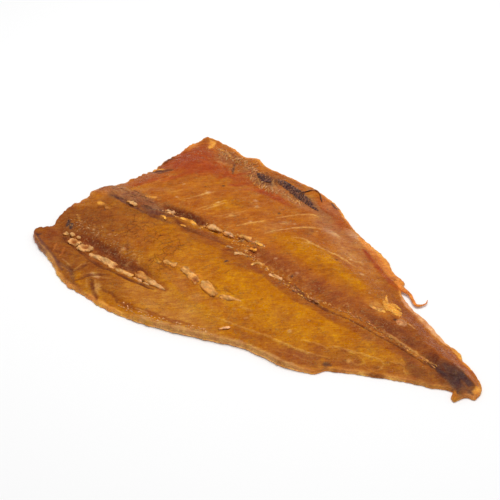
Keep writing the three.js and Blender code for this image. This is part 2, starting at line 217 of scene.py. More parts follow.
REGIONS = [
    Region(27, -25.5, 72, 13, 2, "gold", 0.95),
    Region(67.5, -17.5, 22, 8, 10, "gold", 0.55),
    Region(-49, -28.5, 30, 13, 0, "amber", 0.5),
    Region(-84, -38.5, 30, 12, 0, "toast", 0.75),
    Region(-100, -32, 12, 12, 0, "toast", 0.6),
    Region(-10, -43, 30, 5, 0, "amber", 0.5),
    Region(-17.5, -60.5, 36, 7, 4, "amber", 0.6),
    Region(-72, -66, 24, 9, -6, "toast", 0.55),
    Region(-47, -67, 14, 6, -6, "toast", 0.6),
    Region(-107, -42, 8, 22, 0, "toast", 0.7),
    Region(21, 13.5, 33, 8.5, -4, "gold", 0.95),
    Region(39, 6.5, 22, 5, -12, "rust", 0.35),
    Region(55.5, 14.5, 9, 7, -20, "amber", 0.6),
    # Rosy and pale patches on the upper flank: painted sheen over the flesh's colour.
    Region(19, 37, 24, 8, -22, "rosy", 0.65),
    Region(-3.5, 46, 14, 8, -15, "rosy", 0.75),
    Region(3, 40.5, 6, 2, -10, "pale", 0.6),
    Region(10.5, 48.5, 5, 3.5, -25, "pale", 0.8),
    Region(-17, 27, 3.5, 1.6, 25, "pale", 0.6),
    Region(-19, 19, 6, 6, 0, "rosy", 0.35),
    Region(-3.5, 30.5, 3, 4, 0, "plum", 0.35),
    Region(-14, -58, 30, 9, 4, "hide", 0.36),
    Region(-22, -32, 15, 6, 0, "amber", 0.5),
    Region(14, -31, 19, 8, -2, "honey", 0.5),
    Region(44, -24, 18, 6, 6, "honey", 0.3),
    Region(30, 16, 18, 5, -10, "honey", 0.35),
    Region(-98, -24, 10, 8, 0, "amber", 0.35),
    # Umber on the groove's wall beside the bones: painted shadow.
    Region(-62, -52, 14, 4, 0, "umber", 0.3),
    Region(-62, -32, 15, 9, 40, "amber", 0.6),
    Region(-72, -26, 16, 8, 0, "amber", 0.4),
    Region(-110, -24, 6, 9, 0, "hide", 0.3),
    Region(-100, -12, 13, 6, 0, "rosy", 0.3),
    Region(-99, -56, 11, 7, 0, "umber", 0.35),
    Region(-106, 24, 4, 6, 0, "umber", 0.45),
    Region(-10, 52, 9, 7, -20, "plum", 0.35),
    Region(-24, 55, 11, 5, -15, "ash", 0.5),
    Region(52, 24, 12, 8, -30, "toast", 0.3),
    Region(36, 32, 12, 7, -25, "amber", 0.3),
    Region(82, 5, 14, 4, -10, "umber", 0.35),
    Region(86, -7, 12, 4, -6, "umber", 0.3),
    Region(92, 9, 8, 3, -20, "rust", 0.4),
    Region(8, -8, 26, 7, -4, "rust", 0.4),
    Region(44, -10, 22, 6, 2, "rust", 0.4),
    Region(-95, 38, 16, 13, 30, "red", 0.95),
    Region(-102, 46, 9, 10, 0, "red", 0.85),
    Region(-80.5, 41, 12, 5, 0, "red", 0.55),
    Region(-62.5, 42.5, 10, 4, 0, "red", 0.5),
    Region(-40, 43.5, 13, 3.2, -3, "red", 0.9),
    Region(-12.5, 59.5, 10, 5, -15, "red", 0.65),
    Region(1.5, 52.5, 9, 4, -25, "red", 0.45),
    Region(7.5, 44.5, 8, 3, -15, "rust", 0.4),
    Region(-107.5, 61.5, 6, 6, 0, "rust", 0.35),
    # In the top corner: a painted highlight, and painted glow at the thin edge.
    Region(-106, 62.5, 1.8, 3.2, 30, "glow", 0.75),
    Region(-111, 52, 2.6, 6, 0, "flame", 0.7),
    Region(-100, 57, 12, 7, -10, "red", 0.5),
    Region(-14, -13, 15, 6.5, 4, "rust", 0.6),
    Region(-45, -11, 22, 5, 2, "rust", 0.5),
    Region(20, -11, 14, 5, 0, "rust", 0.45),
    Region(-76, -9, 12, 5, 0, "umber", 0.45),
    Region(97, -11.5, 10, 3, -14, "umber", 0.55),
    Region(-11, 60, 8, 4, -20, "rosy", 0.5),
    Region(38, 43, 8, 3, -25, "glow", 0.35),
    Region(-78, 56, 19, 7, -3, "rust", 0.45),
    Region(-57.5, 51.5, 14, 5, -8, "rust", 0.4),
    # Rosy patches on the upper flank: painted sheen.
    Region(-39, 50, 14, 3.2, -6, "rosy", 0.6),
    Region(-22, 48.5, 8, 2.6, -12, "rosy", 0.6),
    Region(-56, 54, 9, 5, -25, "char", 0.5),
    Region(-36, 56.5, 17, 3.4, -8, "char", 0.75),
    Region(-90.5, -9, 22, 5.5, 3, "ash", 0.75),
    Region(-108, -7, 6, 5, 0, "ash", 0.5),
    Region(-74.5, -3, 5, 3, 0, "ash", 0.4),
    Region(-111.5, -18.5, 5, 8, 0, "red", 0.45),
    Region(-115.5, -20.5, 1.6, 4, 0, "flame", 0.8),
    Region(-103, -26, 3, 1.1, -8, "glow", 0.95),
    Region(-97, -26.5, 1.6, 0.9, 0, "straw", 0.7),
    Region(-104.5, -16.5, 4, 2.5, 0, "char", 0.35),
    Region(-108, 20, 1.5, 2, 0, "glow", 1),
    Region(-104, -57, 9, 5, -20, "rust", 0.6),
    Region(-99, -63, 12, 4, -12, "rust", 0.4),
    Region(112.5, -3, 12, 3.6, 0, "char", 0.95),
    Region(118.5, -4.5, 6, 4.5, -20, "char", 0.8),
    Region(103.5, -2, 10, 3, -5, "umber", 0.7),
    Region(108, -7.5, 9, 2.4, -10, "umber", 0.6),
    Region(109.5, 4, 11, 2.4, -15, "rust", 0.35),
    Region(103, 1.5, 12, 3, -8, "wine", 0.4),
    Region(121, 2, 4, 3, -40, "rust", 0.25),
    Region(107, -11.5, 12, 3, -26, "toast", 0.4),
    Region(120.5, -5.5, 6, 4, -15, "plum", 0.6),
    Region(60, -40, 10, 4, 10, "ash", 0.35),
    Region(110, 6, 9, 3, -15, "red", 0.35),
    Region(-111, -27, 7, 9, 0, "amber", 0.8),
    Region(-108, -11, 8, 7, 0, "rosy", 0.4),
    Region(-104, 25, 6, 7, 0, "red", 0.5),
    # Painted glow of light through the thin tip of the tail.
    Region(126.5, -1.5, 2.4, 3.6, 0, "glow", 0.9),
    Region(121.5, -13.5, 2, 1.4, 0, "gold", 0.7),
    Region(125, -6.5, 2, 1.6, 0, "char", 0.8),
    Region(122.5, -9.5, 1.2, 4, 10, "rust", 0.7),
    Region(-14.5, -19.5, 0.9, 2.2, 20, "plum", 0.8),
    Region(60.5, 7, 5, 2.6, -5, "straw", 0.5),
    Region(-59.5, -67.5, 3, 1.4, 20, "pale", 0.6),
    Region(-64.5, -73.5, 7, 3, -25, "gold", 0.6),
    Region(-54, -25.5, 9, 8, 0, "gold", 0.3),
    Region(-8, -46.5, 5, 3, 0, "rosy", 0.4),
    Region(-23.5, -45, 9, 3.4, -5, "rosy", 0.3),
    Region(32.5, -28.5, 7, 4, 0, "rosy", 0.25),
    Region(71.5, -13.5, 3.5, 3, 0, "rosy", 0.4),
    Region(72, -28, 7, 3.6, 10, "rust", 0.5),
    Region(60, -33, 8, 3, 10, "rust", 0.4),
    Region(49.5, -44.5, 12, 3.5, 12, "rust", 0.5),
    Region(-94.1, 37.8, 15.3, 8.1, 52, "red", 0.75),
    Region(-107.8, 40.5, 7.4, 2.9, 9, "red", 0.5),
    Region(-88.2, 55.8, 5.8, 8.0, 55, "ash", 0.45),
    Region(-69.1, 53.2, 5.1, 6.4, 52, "ash", 0.5),
    Region(-51.6, -73.1, 2.1, 4.3, 35, "hide", 0.6),
    # Umber beside the bones on the groove's wall: painted shadow.
    Region(-69.2, -50.4, 5.0, 1.9, 26, "umber", 0.5),
    Region(-53.3, -51, 5.4, 1.3, 28, "umber", 0.6),
    Region(-81.2, -37, 8.5, 6.2, 37, "toast", 0.3),
    Region(-49.6, 18.9, 9.1, 6.6, 44, "gold", 0.55),
    Region(-59.3, -21.7, 10.3, 4.6, 43, "gold", 0.4),
    Region(-50.9, -36.5, 8.2, 4.5, 36, "gold", 0.35),
    Region(26.3, -4.4, 2.5, 1.1, 26, "rosy", 0.5),
    Region(19.7, -40.6, 1.4, 0.9, 39, "pale", 0.5),
    Region(-84.9, -12.5, 5.3, 4.1, 50, "rust", 0.4),
    Region(-70.2, -72.2, 2.6, 1.8, 32, "plum", 0.3),
    Region(-102.4, -64.3, 4.2, 3.5, 38, "rust", 0.4),
]

BANDS = [
    # Dark bands on the groove's upper wall above the bones: the flesh's darker colour there, with
    # painted shadow.
    Stroke([(-100, -49), (-84, -49), (-66, -48.5), (-48, -48), (-34, -47.5)], 3, "toast", 0.5, -0.3),
    Stroke(
        [(-93, -50.5), (-80, -50.2), (-68, -50),
         (-55, -49.4), (-42, -48.6)],
        2.6, "wine", 0.75, -0.3,
    ),
    Stroke([(-84, -50), (-75.4, -49.4), (-68.1, -49), (-59, -49.9)], 1.9, "umber", 0.6, -0.4),
    Stroke([(-61.5, -52), (-52.8, -50.3), (-43, -49.4)], 1.9, "umber", 0.6, -0.4),
    # Dark line just below the outer bones: painted shadow.
    Stroke(
        [(-98, -56), (-88, -57.6), (-80, -58.9), (-71.9, -59.4), (-62.7, -60.4),
         (-57.7, -58.4), (-51.7, -58), (-40.6, -57), (-30, -54.6)],
        1.3, "umber", 0.85, -0.7,
    ),
    Stroke([(-14.5, 0), (12, -0.5), (46, -0.5), (75, 0.5), (98, 0)], 4, "rust", 0.7, -0.3),
    Stroke([(57.5, -0.5), (80, 0.5), (102, -1)], 2.6, "umber", 0.45, -0.3),
    # Dark line in the crease under the seam: painted shadow.
    Stroke(
        [(12.5, -6.5), (21, -9.5), (28.5, -12), (36.5, -12), (46, -11.5),
         (53, -9), (64, -7.5), (83.5, -6.5), (101.5, -7.5)],
        1.1, "umber", 0.85, -0.9,
    ),
    Stroke(
        [(7.5, -14.5), (32, -16), (51.5, -14), (75, -11.5), (99, -9.5)],
        2.6, "rust", 0.55, -0.2,
    ),
    Stroke([(72, -3), (81.5, -3), (92.5, -3.5), (103.5, -4.5)], 0.7, "bone", 0.5, 0.4),
    Stroke([(99, -5.5), (109, -6.5), (115, -6.5), (120.5, -10)], 1.2, "char", 0.8, -0.5),
    Stroke([(112, -4), (115.5, -4.6), (118.6, -7.1), (122, -10.5)], 1.3, "char", 0.85, -0.7),
    Stroke([(117, -3.4), (120.4, -4.6), (122.6, -4.8), (123.8, -2.4)], 0.8, "toast", 0.6, 0.6),
    Stroke([(120.2, -7), (121.4, -9.4), (121.6, -12)], 0.8, "toast", 0.6, 0.5),
    Stroke([(107, -2), (113, -2.2), (119, -2.4), (123, -1.6)], 2, "char", 0.45, -0.2),
    # Dark slot of the seam: painted shadow in the slot.
    Stroke([(-76, -3.6), (-69.6, -3), (-62.7, -2), (-55, -1.4), (-47, -1.6)], 2.1, "wine", 1, -0.9),
    Stroke([(-72, -3.4), (-64, -2.2), (-56, -1.8), (-50, -1.8)], 1.2, "umber", 0.8, -0.5),
    Stroke([(-84, -13), (-75.1, -12.8), (-68, -10), (-65, -5.5)], 1.5, "plum", 0.75, -0.5),
    Stroke(
        [(-66, -8.5), (-51.5, -11.5), (-42.1, -9.6),
         (-33.6, -8), (-26, -8)],
        1.8, "umber", 0.65, -0.4,
    ),
    Stroke([(-22, -11), (-16, -8.5), (-9, -4)], 1.4, "umber", 0.55, -0.3),
    Stroke([(-44, -8.5), (-30, -6.5), (-15, -4), (-1, -3.5)], 3, "rust", 0.6, -0.3),
    Stroke([(-42, -11.5), (-23, -12.5), (-5, -12.5), (7.5, -14)], 1.8, "rust", 0.5, -0.2),
    Stroke(
        [(-104.5, -15.5), (-91.5, -16.5), (-81, -16), (-72.5, -15), (-60.5, -14)],
        1.1, "plum", 0.8, -0.6,
    ),
    Stroke([(-103, 27), (-101, 16), (-103.5, 4.5), (-106.5, -3)], 4.2, "red", 0.55, 0),
    Stroke([(-103, 27), (-101, 16), (-103.5, 4.5), (-106.5, -3)], 4.2, "rosy", 0.3, 0),
    Stroke([(-94.5, 19.5), (-92.5, 13), (-98, 9.5)], 1.6, "flame", 0.5, 0),
    Stroke([(-110, 34.5), (-109.5, 30), (-108.5, 26)], 1.9, "umber", 0.9, 0.5),
    Stroke([(-98.5, 24.5), (-102.5, 20.5), (-107.5, 15)], 1.3, "char", 0.6, -0.4),
    Stroke([(-75, 43.5), (-73, 38), (-73, 33.5)], 1.5, "red", 0.7, -0.1),
    Stroke([(-59.5, 43.5), (-62, 38), (-64.5, 33.5)], 1.6, "red", 0.7, -0.1),
    Stroke([(-46.5, 45.5), (-52, 40), (-55.5, 35.5)], 1.5, "red", 0.5, -0.1),
    Stroke(
        [(56.3, 24), (65.3, 19.4), (77.8, 14.4), (87.6, 11.3), (96.3, 9.4), (106.5, 6.6), (114.7, 5)],
        1.3, "rust", 0.6, 0,
    ),
    Stroke([(62, 19.5), (74.5, 14.5), (91, 8), (101.5, 4.5)], 3.2, "rust", 0.75, 0),
    # Bright orange along the thin upper right edge: painted glow of light coming through it.
    Stroke([(15, 49), (26, 46), (37, 42.5), (46.5, 38), (54.5, 35.5)], 2.6, "flame", 0.95, -0.2),
    Stroke([(18, 49.5), (28, 47), (39, 43), (48, 38.5)], 1.5, "glow", 0.5, 0),
    Stroke([(24, 42), (34, 37.5), (44, 33), (53.5, 30), (58, 31)], 1.7, "red", 0.75, 0.3),
    Stroke([(31.5, 40), (43, 36.5), (51.5, 32.5)], 1.2, "flame", 0.4, 0),
    # Pale rim of skin along the upper right edge, with painted sheen; then painted glow along the thin
    # edge towards the tail.
    Stroke(
        [(59.5, 28), (64.5, 25), (74.4, 21.4),
         (83.3, 18.2), (90.6, 15.6), (98, 13.4)],
        1.9, "shell", 0.95, 0,
    ),
    Stroke([(101, 12.5), (106, 11), (110.6, 9.6), (116, 7)], 1.3, "glow", 0.8, 0),
    Stroke(
        [(-112.5, -62.5), (-104.5, -66), (-94.5, -68.5), (-85.5, -71), (-76, -74)],
        1, "plum", 0.8, -0.6,
    ),
    Stroke([(-112, -64.5), (-104, -68), (-93.5, -70.5), (-84.5, -72.5)], 1.1, "hide", 0.9, 0.4),
    # Painted glow of light through the thin lower edge.
    Stroke(
        [(-84, -75), (-74, -77.5), (-62, -78.5), (-49.5, -78), (-39.5, -77.5), (-29.5, -76)],
        1.2, "glow", 0.7, 0,
    ),
    Stroke(
        [(-23.5, -73.5), (-9.5, -69), (4.5, -63), (16.5, -57.5),
         (30.5, -52), (45.5, -49.5), (58.5, -46)],
        1.7, "hide", 0.9, 0,
    ),
    Stroke(
        [(-44, -71), (-32.5, -71), (-22.5, -69), (-8.5, -64.5), (1.5, -60)],
        1.6, "wine", 0.5, -0.2,
    ),
    Stroke(
        [(22, -49), (41.5, -45), (57.5, -40.5), (69, -33.5), (84.5, -24.5), (100.5, -16)],
        3.6, "rust", 0.45, -0.2,
    ),
    Stroke(
        [(68, -37), (78, -30), (88.5, -24), (100, -17.5), (108.5, -13.5)],
        0.9, "umber", 0.55, 0,
    ),
    Stroke([(66.5, -37.5), (65.5, -36), (67.5, -34.5)], 0.9, "char", 0.8, -0.3),
    Stroke([(-55.5, -63), (-62, -69.5), (-65, -76)], 0.9, "umber", 0.6, -0.5),
    Stroke([(-70.5, -60.5), (-69, -68.5), (-73, -73)], 0.9, "umber", 0.55, -0.5),
    Stroke([(-78, -62), (-89, -67), (-97.5, -67.5)], 0.8, "umber", 0.4, -0.3),
    Stroke([(-83, -71), (-72.5, -72), (-65, -76.5)], 1, "plum", 0.55, -0.5),
    Stroke([(-50.5, -71.5), (-40.5, -71), (-36.5, -72.5)], 0.8, "umber", 0.5, -0.3),
    Stroke([(-113.5, -37), (-112.5, -43.5), (-108, -51)], 1.3, "rust", 0.5, 0),
    Stroke([(-114, -24), (-113.5, -31), (-114.5, -37.5)], 1.2, "flame", 0.45, 0),
    # Bright orange along the thin upper edge: painted glow.
    Stroke(
        [(-104, 68), (-91.5, 67.5), (-83.5, 65.5), (-75.5, 68.5),
         (-65.5, 66.5), (-49.5, 67), (-35.5, 68)],
        1.3, "flame", 0.6, 0,
    ),
    Stroke([(-59, 64), (-45, 64.5), (-33, 65)], 1.7, "toast", 0.4, 0),
    # More painted glow along the thin upper edge.
    Stroke(
        [(-29.5, 67.5), (-19.5, 66), (-8.5, 62), (0.5, 57.5), (12.5, 52.5)],
        0.9, "flame", 0.75, 0,
    ),
    Stroke(
        [(-114, -63.9), (-109, -66.5), (-101.1, -68.8),
         (-92.9, -70.7), (-85.4, -72.9), (-79.9, -74.7)],
        0.9, "plum", 0.85, -0.4,
    ),
    Stroke([(-112.5, -63.7), (-108.6, -64.1), (-107.4, -61.6)], 0.7, "char", 0.7, -0.1),
    Stroke([(-74.4, -77.9), (-65.1, -77.8), (-56.9, -78.3), (-48.3, -79.2)], 1.3, "umber", 0.6, -0.4),
    # Painted glow along the thin lower edge.
    Stroke(
        [(-77.4, -77.4), (-69.2, -79.6), (-61.3, -79.8),
         (-51.8, -79.4), (-45.4, -79.7), (-37.9, -79.9)],
        1.3, "glow", 0.85, 0.1,
    ),
    Stroke([(-58.7, -70.1), (-52.3, -74.4), (-45.7, -77.6)], 1.0, "umber", 0.7, -0.4),
    Stroke(
        [(-94.5, 11.1), (-91.7, 17.6), (-89.4, 25.4),
         (-85.8, 33.5), (-83.6, 43.1)],
        1.8, "red", 0.8, -0.1,
    ),
    Stroke([(-104.2, -2.4), (-100.9, 3.5), (-98.4, 9.4), (-95.5, 15.8)], 2.0, "red", 0.55, -0.1),
    Stroke([(-75.5, 35), (-71.2, 42.5), (-68.6, 51.9), (-67.6, 58.9)], 1.4, "red", 0.7, -0.1),
    Stroke([(-98.8, -7.3), (-95.2, -1.7), (-89.2, 4.7), (-82.8, 9.1)], 2.2, "rosy", 0.35, 0),
    Stroke([(-110, 22.3), (-110.2, 27.2), (-109.6, 32.8)], 1.8, "umber", 0.85, 0.2),
    Stroke([(-101.9, 15.6), (-100.3, 18.8), (-99.3, 21.6)], 0.9, "umber", 0.8, 0.1),
    Stroke([(-109.3, 20), (-105.7, 20.7), (-102.9, 22)], 0.7, "glow", 1, 0.1),
    # Along the thin head edge and upper edge: painted glow, and a painted highlight in the top corner.
    Stroke(
        [(-111.1, 34.2), (-112.3, 40.1), (-113.5, 46.9),
         (-113.5, 54.1), (-113.6, 59.1)],
        1.4, "flame", 0.8, 0,
    ),
    Stroke([(-108.9, 64.4), (-105.1, 62.2), (-102.6, 57.2)], 1.6, "glow", 0.8, 0.1),
    Stroke([(-92.8, 66.3), (-86.9, 66.9), (-80.6, 68.6), (-74.7, 69)], 1.5, "flame", 0.75, 0),
    Stroke([(-82.1, 70.1), (-76.9, 70.6)], 1.2, "glow", 0.6, 0),
    Stroke([(-70.6, -56.7), (-64.6, -55.3), (-56.7, -54.8), (-50.1, -54.6)], 0.8, "umber", 0.5, -0.2),
]

LINES = [
    Stroke([(-72, 5.5), (-68.5, 13.5), (-65, 22.5)], 0.6, "straw", 0.65, 0.2),
    Stroke([(-59.5, 4), (-56.5, 12), (-54, 22)], 0.55, "straw", 0.55, 0.2),
    Stroke([(-48, 6), (-43.5, 12.5), (-39, 20.5)], 0.55, "straw", 0.55, 0.2),
    Stroke([(-33, 7.5), (-28.5, 15), (-24.5, 21.5)], 0.69, "straw", 0.85, 0.25),
    Stroke([(-23, 27.5), (-20, 35.5), (-15.5, 44), (-11, 47)], 0.69, "straw", 0.8, 0.25),
    Stroke([(-17.5, 11.5), (-13, 21), (-7.5, 31.5), (-2, 38.5)], 0.75, "straw", 0.9, 0.3),
    Stroke([(-86, 4), (-81, 8), (-79, 14.5)], 0.49, "straw", 0.4, 0.15),
    Stroke(
        [(-5, 19), (0.5, 22.5), (6.5, 22.5),
         (16, 24), (25.5, 25), (33.5, 24)],
        0.8, "straw", 0.9, 0.25,
    ),
    Stroke([(3, -50.5), (11, -48.5), (20.5, -46), (32.5, -42.5),
         (42.5, -41), (52.5, -38.5), (58.5, -36), (65, -33)], 0.64, "straw", 0.56, 0.3),
    Stroke([(48, -34.5), (56, -31.5), (61.5, -30.5), (63, -31)], 0.42, "straw", 0.52, 0.2),
    Stroke([(61, -29.5), (66, -26), (73, -23.5)], 0.59, "straw", 0.6, 0.3),
    Stroke([(68.5, -24.5), (76, -21.5), (82, -19), (85.5, -19), (86, -21.5)], 0.51, "straw", 0.64, 0.3),
    Stroke([(87, -16.5), (92, -14.5), (95, -15.5), (97.5, -16.5)], 0.42, "straw", 0.52, 0.2),
    Stroke([(73, -23.5), (78.5, -24), (77, -26.5), (72, -27.5)], 0.42, "straw", 0.41, 0.2),
    Stroke([(82, -22), (86.5, -21), (84, -24), (78.5, -26)], 0.4, "straw", 0.34, 0.15),
    Stroke([(41, -47), (51.5, -42.5), (61, -40)], 0.4, "straw", 0.26, 0.1),
    Stroke([(-42, -40.5), (-41.5, -44.5), (-36.5, -48)], 0.42, "straw", 0.41, 0.25),
    Stroke([(-106.5, -39.5), (-98, -43)], 0.42, "straw", 0.6, 0.2),
    Stroke([(-53, -42.5), (-48, -47.5)], 0.42, "straw", 0.52, 0.2),
    Stroke([(-92.5, -26), (-88, -31.5), (-84.5, -36.5)], 0.5, "umber", 0.45, -0.25),
    Stroke([(-67, -38), (-62.5, -42.5), (-58.5, -45.5)], 0.5, "umber", 0.5, -0.25),
    Stroke([(-62.5, -33.5), (-55, -37.5)], 0.4, "straw", 0.3, 0.1),
    Stroke([(77.5, 9), (83.5, 8)], 0.49, "straw", 0.8, 0.2),
    Stroke([(-80.5, 55), (-76.5, 50), (-72, 44.5)], 0.6, "char", 0.9, 0.1),
    Stroke([(-105, -45.6), (-102, -49.4)], 1.1, "char", 1, 0.1),
    Stroke([(-101.4, -46.6), (-99.3, -49.4)], 1.1, "char", 1, 0.1),
    Stroke([(-16, 64.5), (-12.5, 62), (-9.5, 62)], 0.8, "char", 0.7, 0),
    Stroke([(-32, -36.5), (-24, -35.5), (-14, -35.5)], 0.6, "flame", 0.6, 0.3),
    Stroke([(-14.5, -35), (-6, -36), (-1, -37)], 0.5, "umber", 0.5, -0.4),
    Stroke([(-1.5, -34), (4.5, -34), (11.5, -33.5)], 0.5, "umber", 0.45, -0.3),
    Stroke([(11.5, 36.5), (23.5, 32), (35.5, 29)], 0.49, "straw", 0.35, 0.1),
    Stroke([(20, 30.5), (28.5, 28.5), (31.5, 31.5), (34, 29)], 0.47, "pale", 0.6, 0.15),
    Stroke([(-97, 61), (-91, 60.5), (-85.5, 57)], 0.8, "straw", 0.69, 0.3),
    Stroke([(-99, 63), (-93.5, 57.5), (-89.5, 51.5)], 0.49, "straw", 0.51, 0.2),
    Stroke([(-70.5, 60.5), (-64, 55), (-57.5, 50.5)], 0.6, "straw", 0.6, 0.3),
    Stroke([(-54.5, 59.5), (-50, 54.5), (-43, 50)], 0.6, "straw", 0.6, 0.3),
    Stroke([(-43, -41.5), (-39, -40.5), (-32.5, -40.5)], 0.5, "umber", 0.4, -0.2),
    Stroke([(-85, 6), (-75, 5), (-68.5, 6.5)], 0.5, "gold", 0.5, 0.1),
    Stroke([(-42, -60), (-27, -58), (-12, -56)], 0.4, "straw", 0.22, 0.1),
    Stroke([(-57.5, -68.5), (-50.5, -73.5), (-46, -75)], 0.51, "straw", 0.45, 0.3),
    Stroke([(-26.5, -69.5), (-18.5, -68)], 0.51, "pale", 0.45, 0.2),
    Stroke([(-95.3, -62), (-92.8, -65.4), (-91.2, -68.1)], 0.5, "flame", 0.5, 0.25),
    Stroke([(-93, -61.2), (-89.8, -65.2), (-88, -68.7)], 0.5, "rust", 0.6, -0.25),
    Stroke([(-89.3, -61.6), (-86.7, -65.1), (-85, -68.5)], 0.5, "flame", 0.5, 0.25),
    Stroke([(-85.6, -62), (-82.6, -65.1), (-81.3, -68.9)], 0.5, "rust", 0.6, -0.25),
    Stroke([(-72.4, -74.4), (-71.3, -71.2), (-70.6, -66.5), (-68.7, -61.5)], 0.47, "straw", 0.45, 0.25),
    Stroke([(-70.7, -75.8), (-67.7, -73), (-64.3, -69.9), (-61.7, -66.8)], 0.4, "straw", 0.34, 0.2),
    Stroke([(-62.5, -69.5), (-59.4, -72.2), (-56.3, -75.5)], 0.47, "straw", 0.56, 0.3),
    Stroke([(-83.9, -68.7), (-78.7, -69.1), (-74.5, -69.9)], 0.42, "pale", 0.34, 0.2),
    Stroke([(-80.7, -72.7), (-76.1, -72.5), (-71.7, -72.3)], 0.4, "pale", 0.3, 0.2),
    Stroke([(-56, -66.5), (-52.8, -64.7), (-48.7, -63.1)], 0.4, "straw", 0.3, 0.15),
    Stroke([(-49.3, -69.1), (-45.5, -67.2), (-40.1, -65.4)], 0.4, "straw", 0.26, 0.15),
    Stroke([(-38.6, -69.4), (-34.4, -66.6), (-30.7, -64.7)], 0.4, "straw", 0.34, 0.15),
    Stroke([(-68.7, 13.6), (-66.4, 19), (-64.1, 23.5)], 0.69, "straw", 0.85, 0.2),
    Stroke([(-56.2, 6.6), (-54.1, 13.5), (-51.8, 19.5)], 0.65, "straw", 0.8, 0.2),
    Stroke([(-44, 8.6), (-40.7, 12.7), (-39.1, 17.9)], 0.6, "straw", 0.6, 0.2),
    Stroke([(-75.4, 5.1), (-70, 5.9), (-65.4, 7.4)], 0.49, "straw", 0.45, 0.1),
    Stroke([(-90.8, -5.7), (-87, -3.3), (-82.9, -1.2)], 0.55, "glow", 0.7, 0.1),
    Stroke([(-64.3, -0.4), (-62.7, 4.7), (-61, 11.3)], 0.5, "gold", 0.5, 0.1),
    Stroke([(-106, -16.9), (-99.1, -15.6), (-92.6, -14.2), (-87.1, -11.9)], 0.5, "char", 0.6, -0.3),
    Stroke([(-109.2, -11.4), (-98.9, -11.5), (-91.7, -9.3), (-84.7, -5.4)], 0.6, "rosy", 0.5, 0.2),
    Stroke([(-107.1, -8.7), (-97.9, -8), (-90, -4.9)], 0.4, "umber", 0.5, -0.25),
    Stroke([(-84.9, -12.5), (-78.8, -10.9), (-74.5, -9), (-69.7, -7.7)], 0.6, "char", 0.55, -0.4),
    Stroke([(1, 19.7), (6, 21.7), (10.8, 24)], 0.6, "straw", 0.85, 0.2),
    Stroke([(-8.5, -27.5), (-8.4, -23.3)], 0.4, "umber", 0.5, -0.2),
    Stroke([(-14.6, -19.8), (-14.8, -17.5)], 0.7, "char", 0.8, 0),
    Stroke([(12.4, -37.8), (16.2, -36.9), (20.1, -36.2)], 0.68, "pale", 0.38, 0.2),
    Stroke([(-1.7, -43.4), (1.3, -45.7), (4.6, -47.7)], 0.42, "pale", 0.3, 0.15),
    Stroke([(20.1, -6.9), (23.8, -8.2), (30.5, -10.7)], 0.7, "char", 0.6, -0.4),
    Stroke([(17.7, -8.3), (22.4, -10.3), (27, -11.5)], 0.77, "pale", 0.41, 0.3),
    Stroke([(32.2, -11.9), (34.9, -10.5), (39.2, -10.4)], 0.68, "pale", 0.3, 0.2),
    Stroke([(-82.5, -35.9), (-86.2, -31.2), (-89.9, -27.3)], 0.4, "umber", 0.5, -0.2),
    Stroke([(-90.3, -39.5), (-84.4, -43.3), (-78, -44.7)], 0.4, "umber", 0.45, -0.2),
    Stroke([(-78.2, -39), (-74.6, -37.3), (-72.4, -33.6)], 0.5, "gold", 0.7, 0.1),
    Stroke([(-70.2, -18.8), (-63.7, -20.5), (-58, -23)], 0.4, "umber", 0.4, -0.2),
    Stroke([(-64.2, -39.6), (-59.4, -44.7), (-56.7, -47.8)], 0.35, "umber", 0.5, -0.15),
]

SPECKS = [
    Spot(-78.5, -38, 0.6, "char"),
    Spot(-95.5, -28.5, 0.5, "char"),
    Spot(-66, 31, 0.9, "char"),
    Spot(-72.5, 23.5, 0.6, "char"),
    Spot(-25.5, 32, 0.9, "char"),
    Spot(-26.5, 36.5, 0.6, "char"),
    Spot(15.5, -3.5, 0.8, "char"),
    Spot(72.5, 6, 0.9, "char"),
    Spot(20, 5, 0.7, "umber"),
    Spot(23.5, 21, 0.9, "umber"),
    Spot(-56, -25.5, 0.8, "umber"),
    Spot(-13, 57, 0.6, "char"),
    Spot(-49.5, -21.5, 0.7, "wine"),
    Spot(18.5, -28.5, 0.5, "umber"),
    Spot(-46, -42, 0.5, "umber"),
    Spot(63, -24.5, 0.6, "wine"),
]

# Pale raised spots: painted highlights, each with a small rise of its own.
GLINTS = [
    Spot(-66.5, 20, 1.8, "pale"),
    Spot(-55.5, 16.5, 1.2, "pale"),
    Spot(-42.5, 32, 1.5, "pale"),
    Spot(-37.5, 27.5, 1.4, "pale"),
    Spot(-42, 12.5, 1.6, "straw"),
    Spot(41.5, -34, 1.1, "pale"),
    Spot(27, 28, 0.8, "pale"),
    Spot(39.5, 21.5, 1.3, "pale"),
    Spot(-77.5, -41, 0.8, "pale"),
    Spot(-63, -44.5, 1.4, "pale"),
    Spot(-82, 16.5, 0.8, "pale"),
    Spot(-76, 5.5, 0.9, "pale"),
    Spot(-13, 30.5, 1.1, "pale"),
    Spot(-1.5, 35, 0.6, "pale"),
    Spot(-30.5, 15, 1, "pale"),
    Spot(16.5, -1, 1, "pale"),
    Spot(11.5, -2, 0.6, "pale"),
    Spot(1, 0.5, 0.9, "pale"),
    Spot(44.5, -24, 0.6, "pale"),
    Spot(52, 12, 0.7, "pale"),
    Spot(-41, -40.5, 0.8, "straw"),
    Spot(72.5, -28, 1.2, "straw"),
    Spot(-87.5, -43.5, 0.8, "pale"),
    Spot(-82.5, -45.5, 0.7, "pale"),
    Spot(-91.5, -44.5, 0.7, "pale"),
    Spot(-55.5, -44, 0.8, "pale"),
    Spot(11.5, -40.5, 1, "straw"),
    Spot(20.5, -38, 0.9, "straw"),
]

# ---- Small maths ----


def mix(a, b, share):
    return a + (b - a) * share


def bell(distance, width):
    return np.exp(-((distance / width) ** 2))


def step(low, high, value):
    t = np.clip((value - low) / (high - low), 0, 1)
    return t * t * (3 - 2 * t)


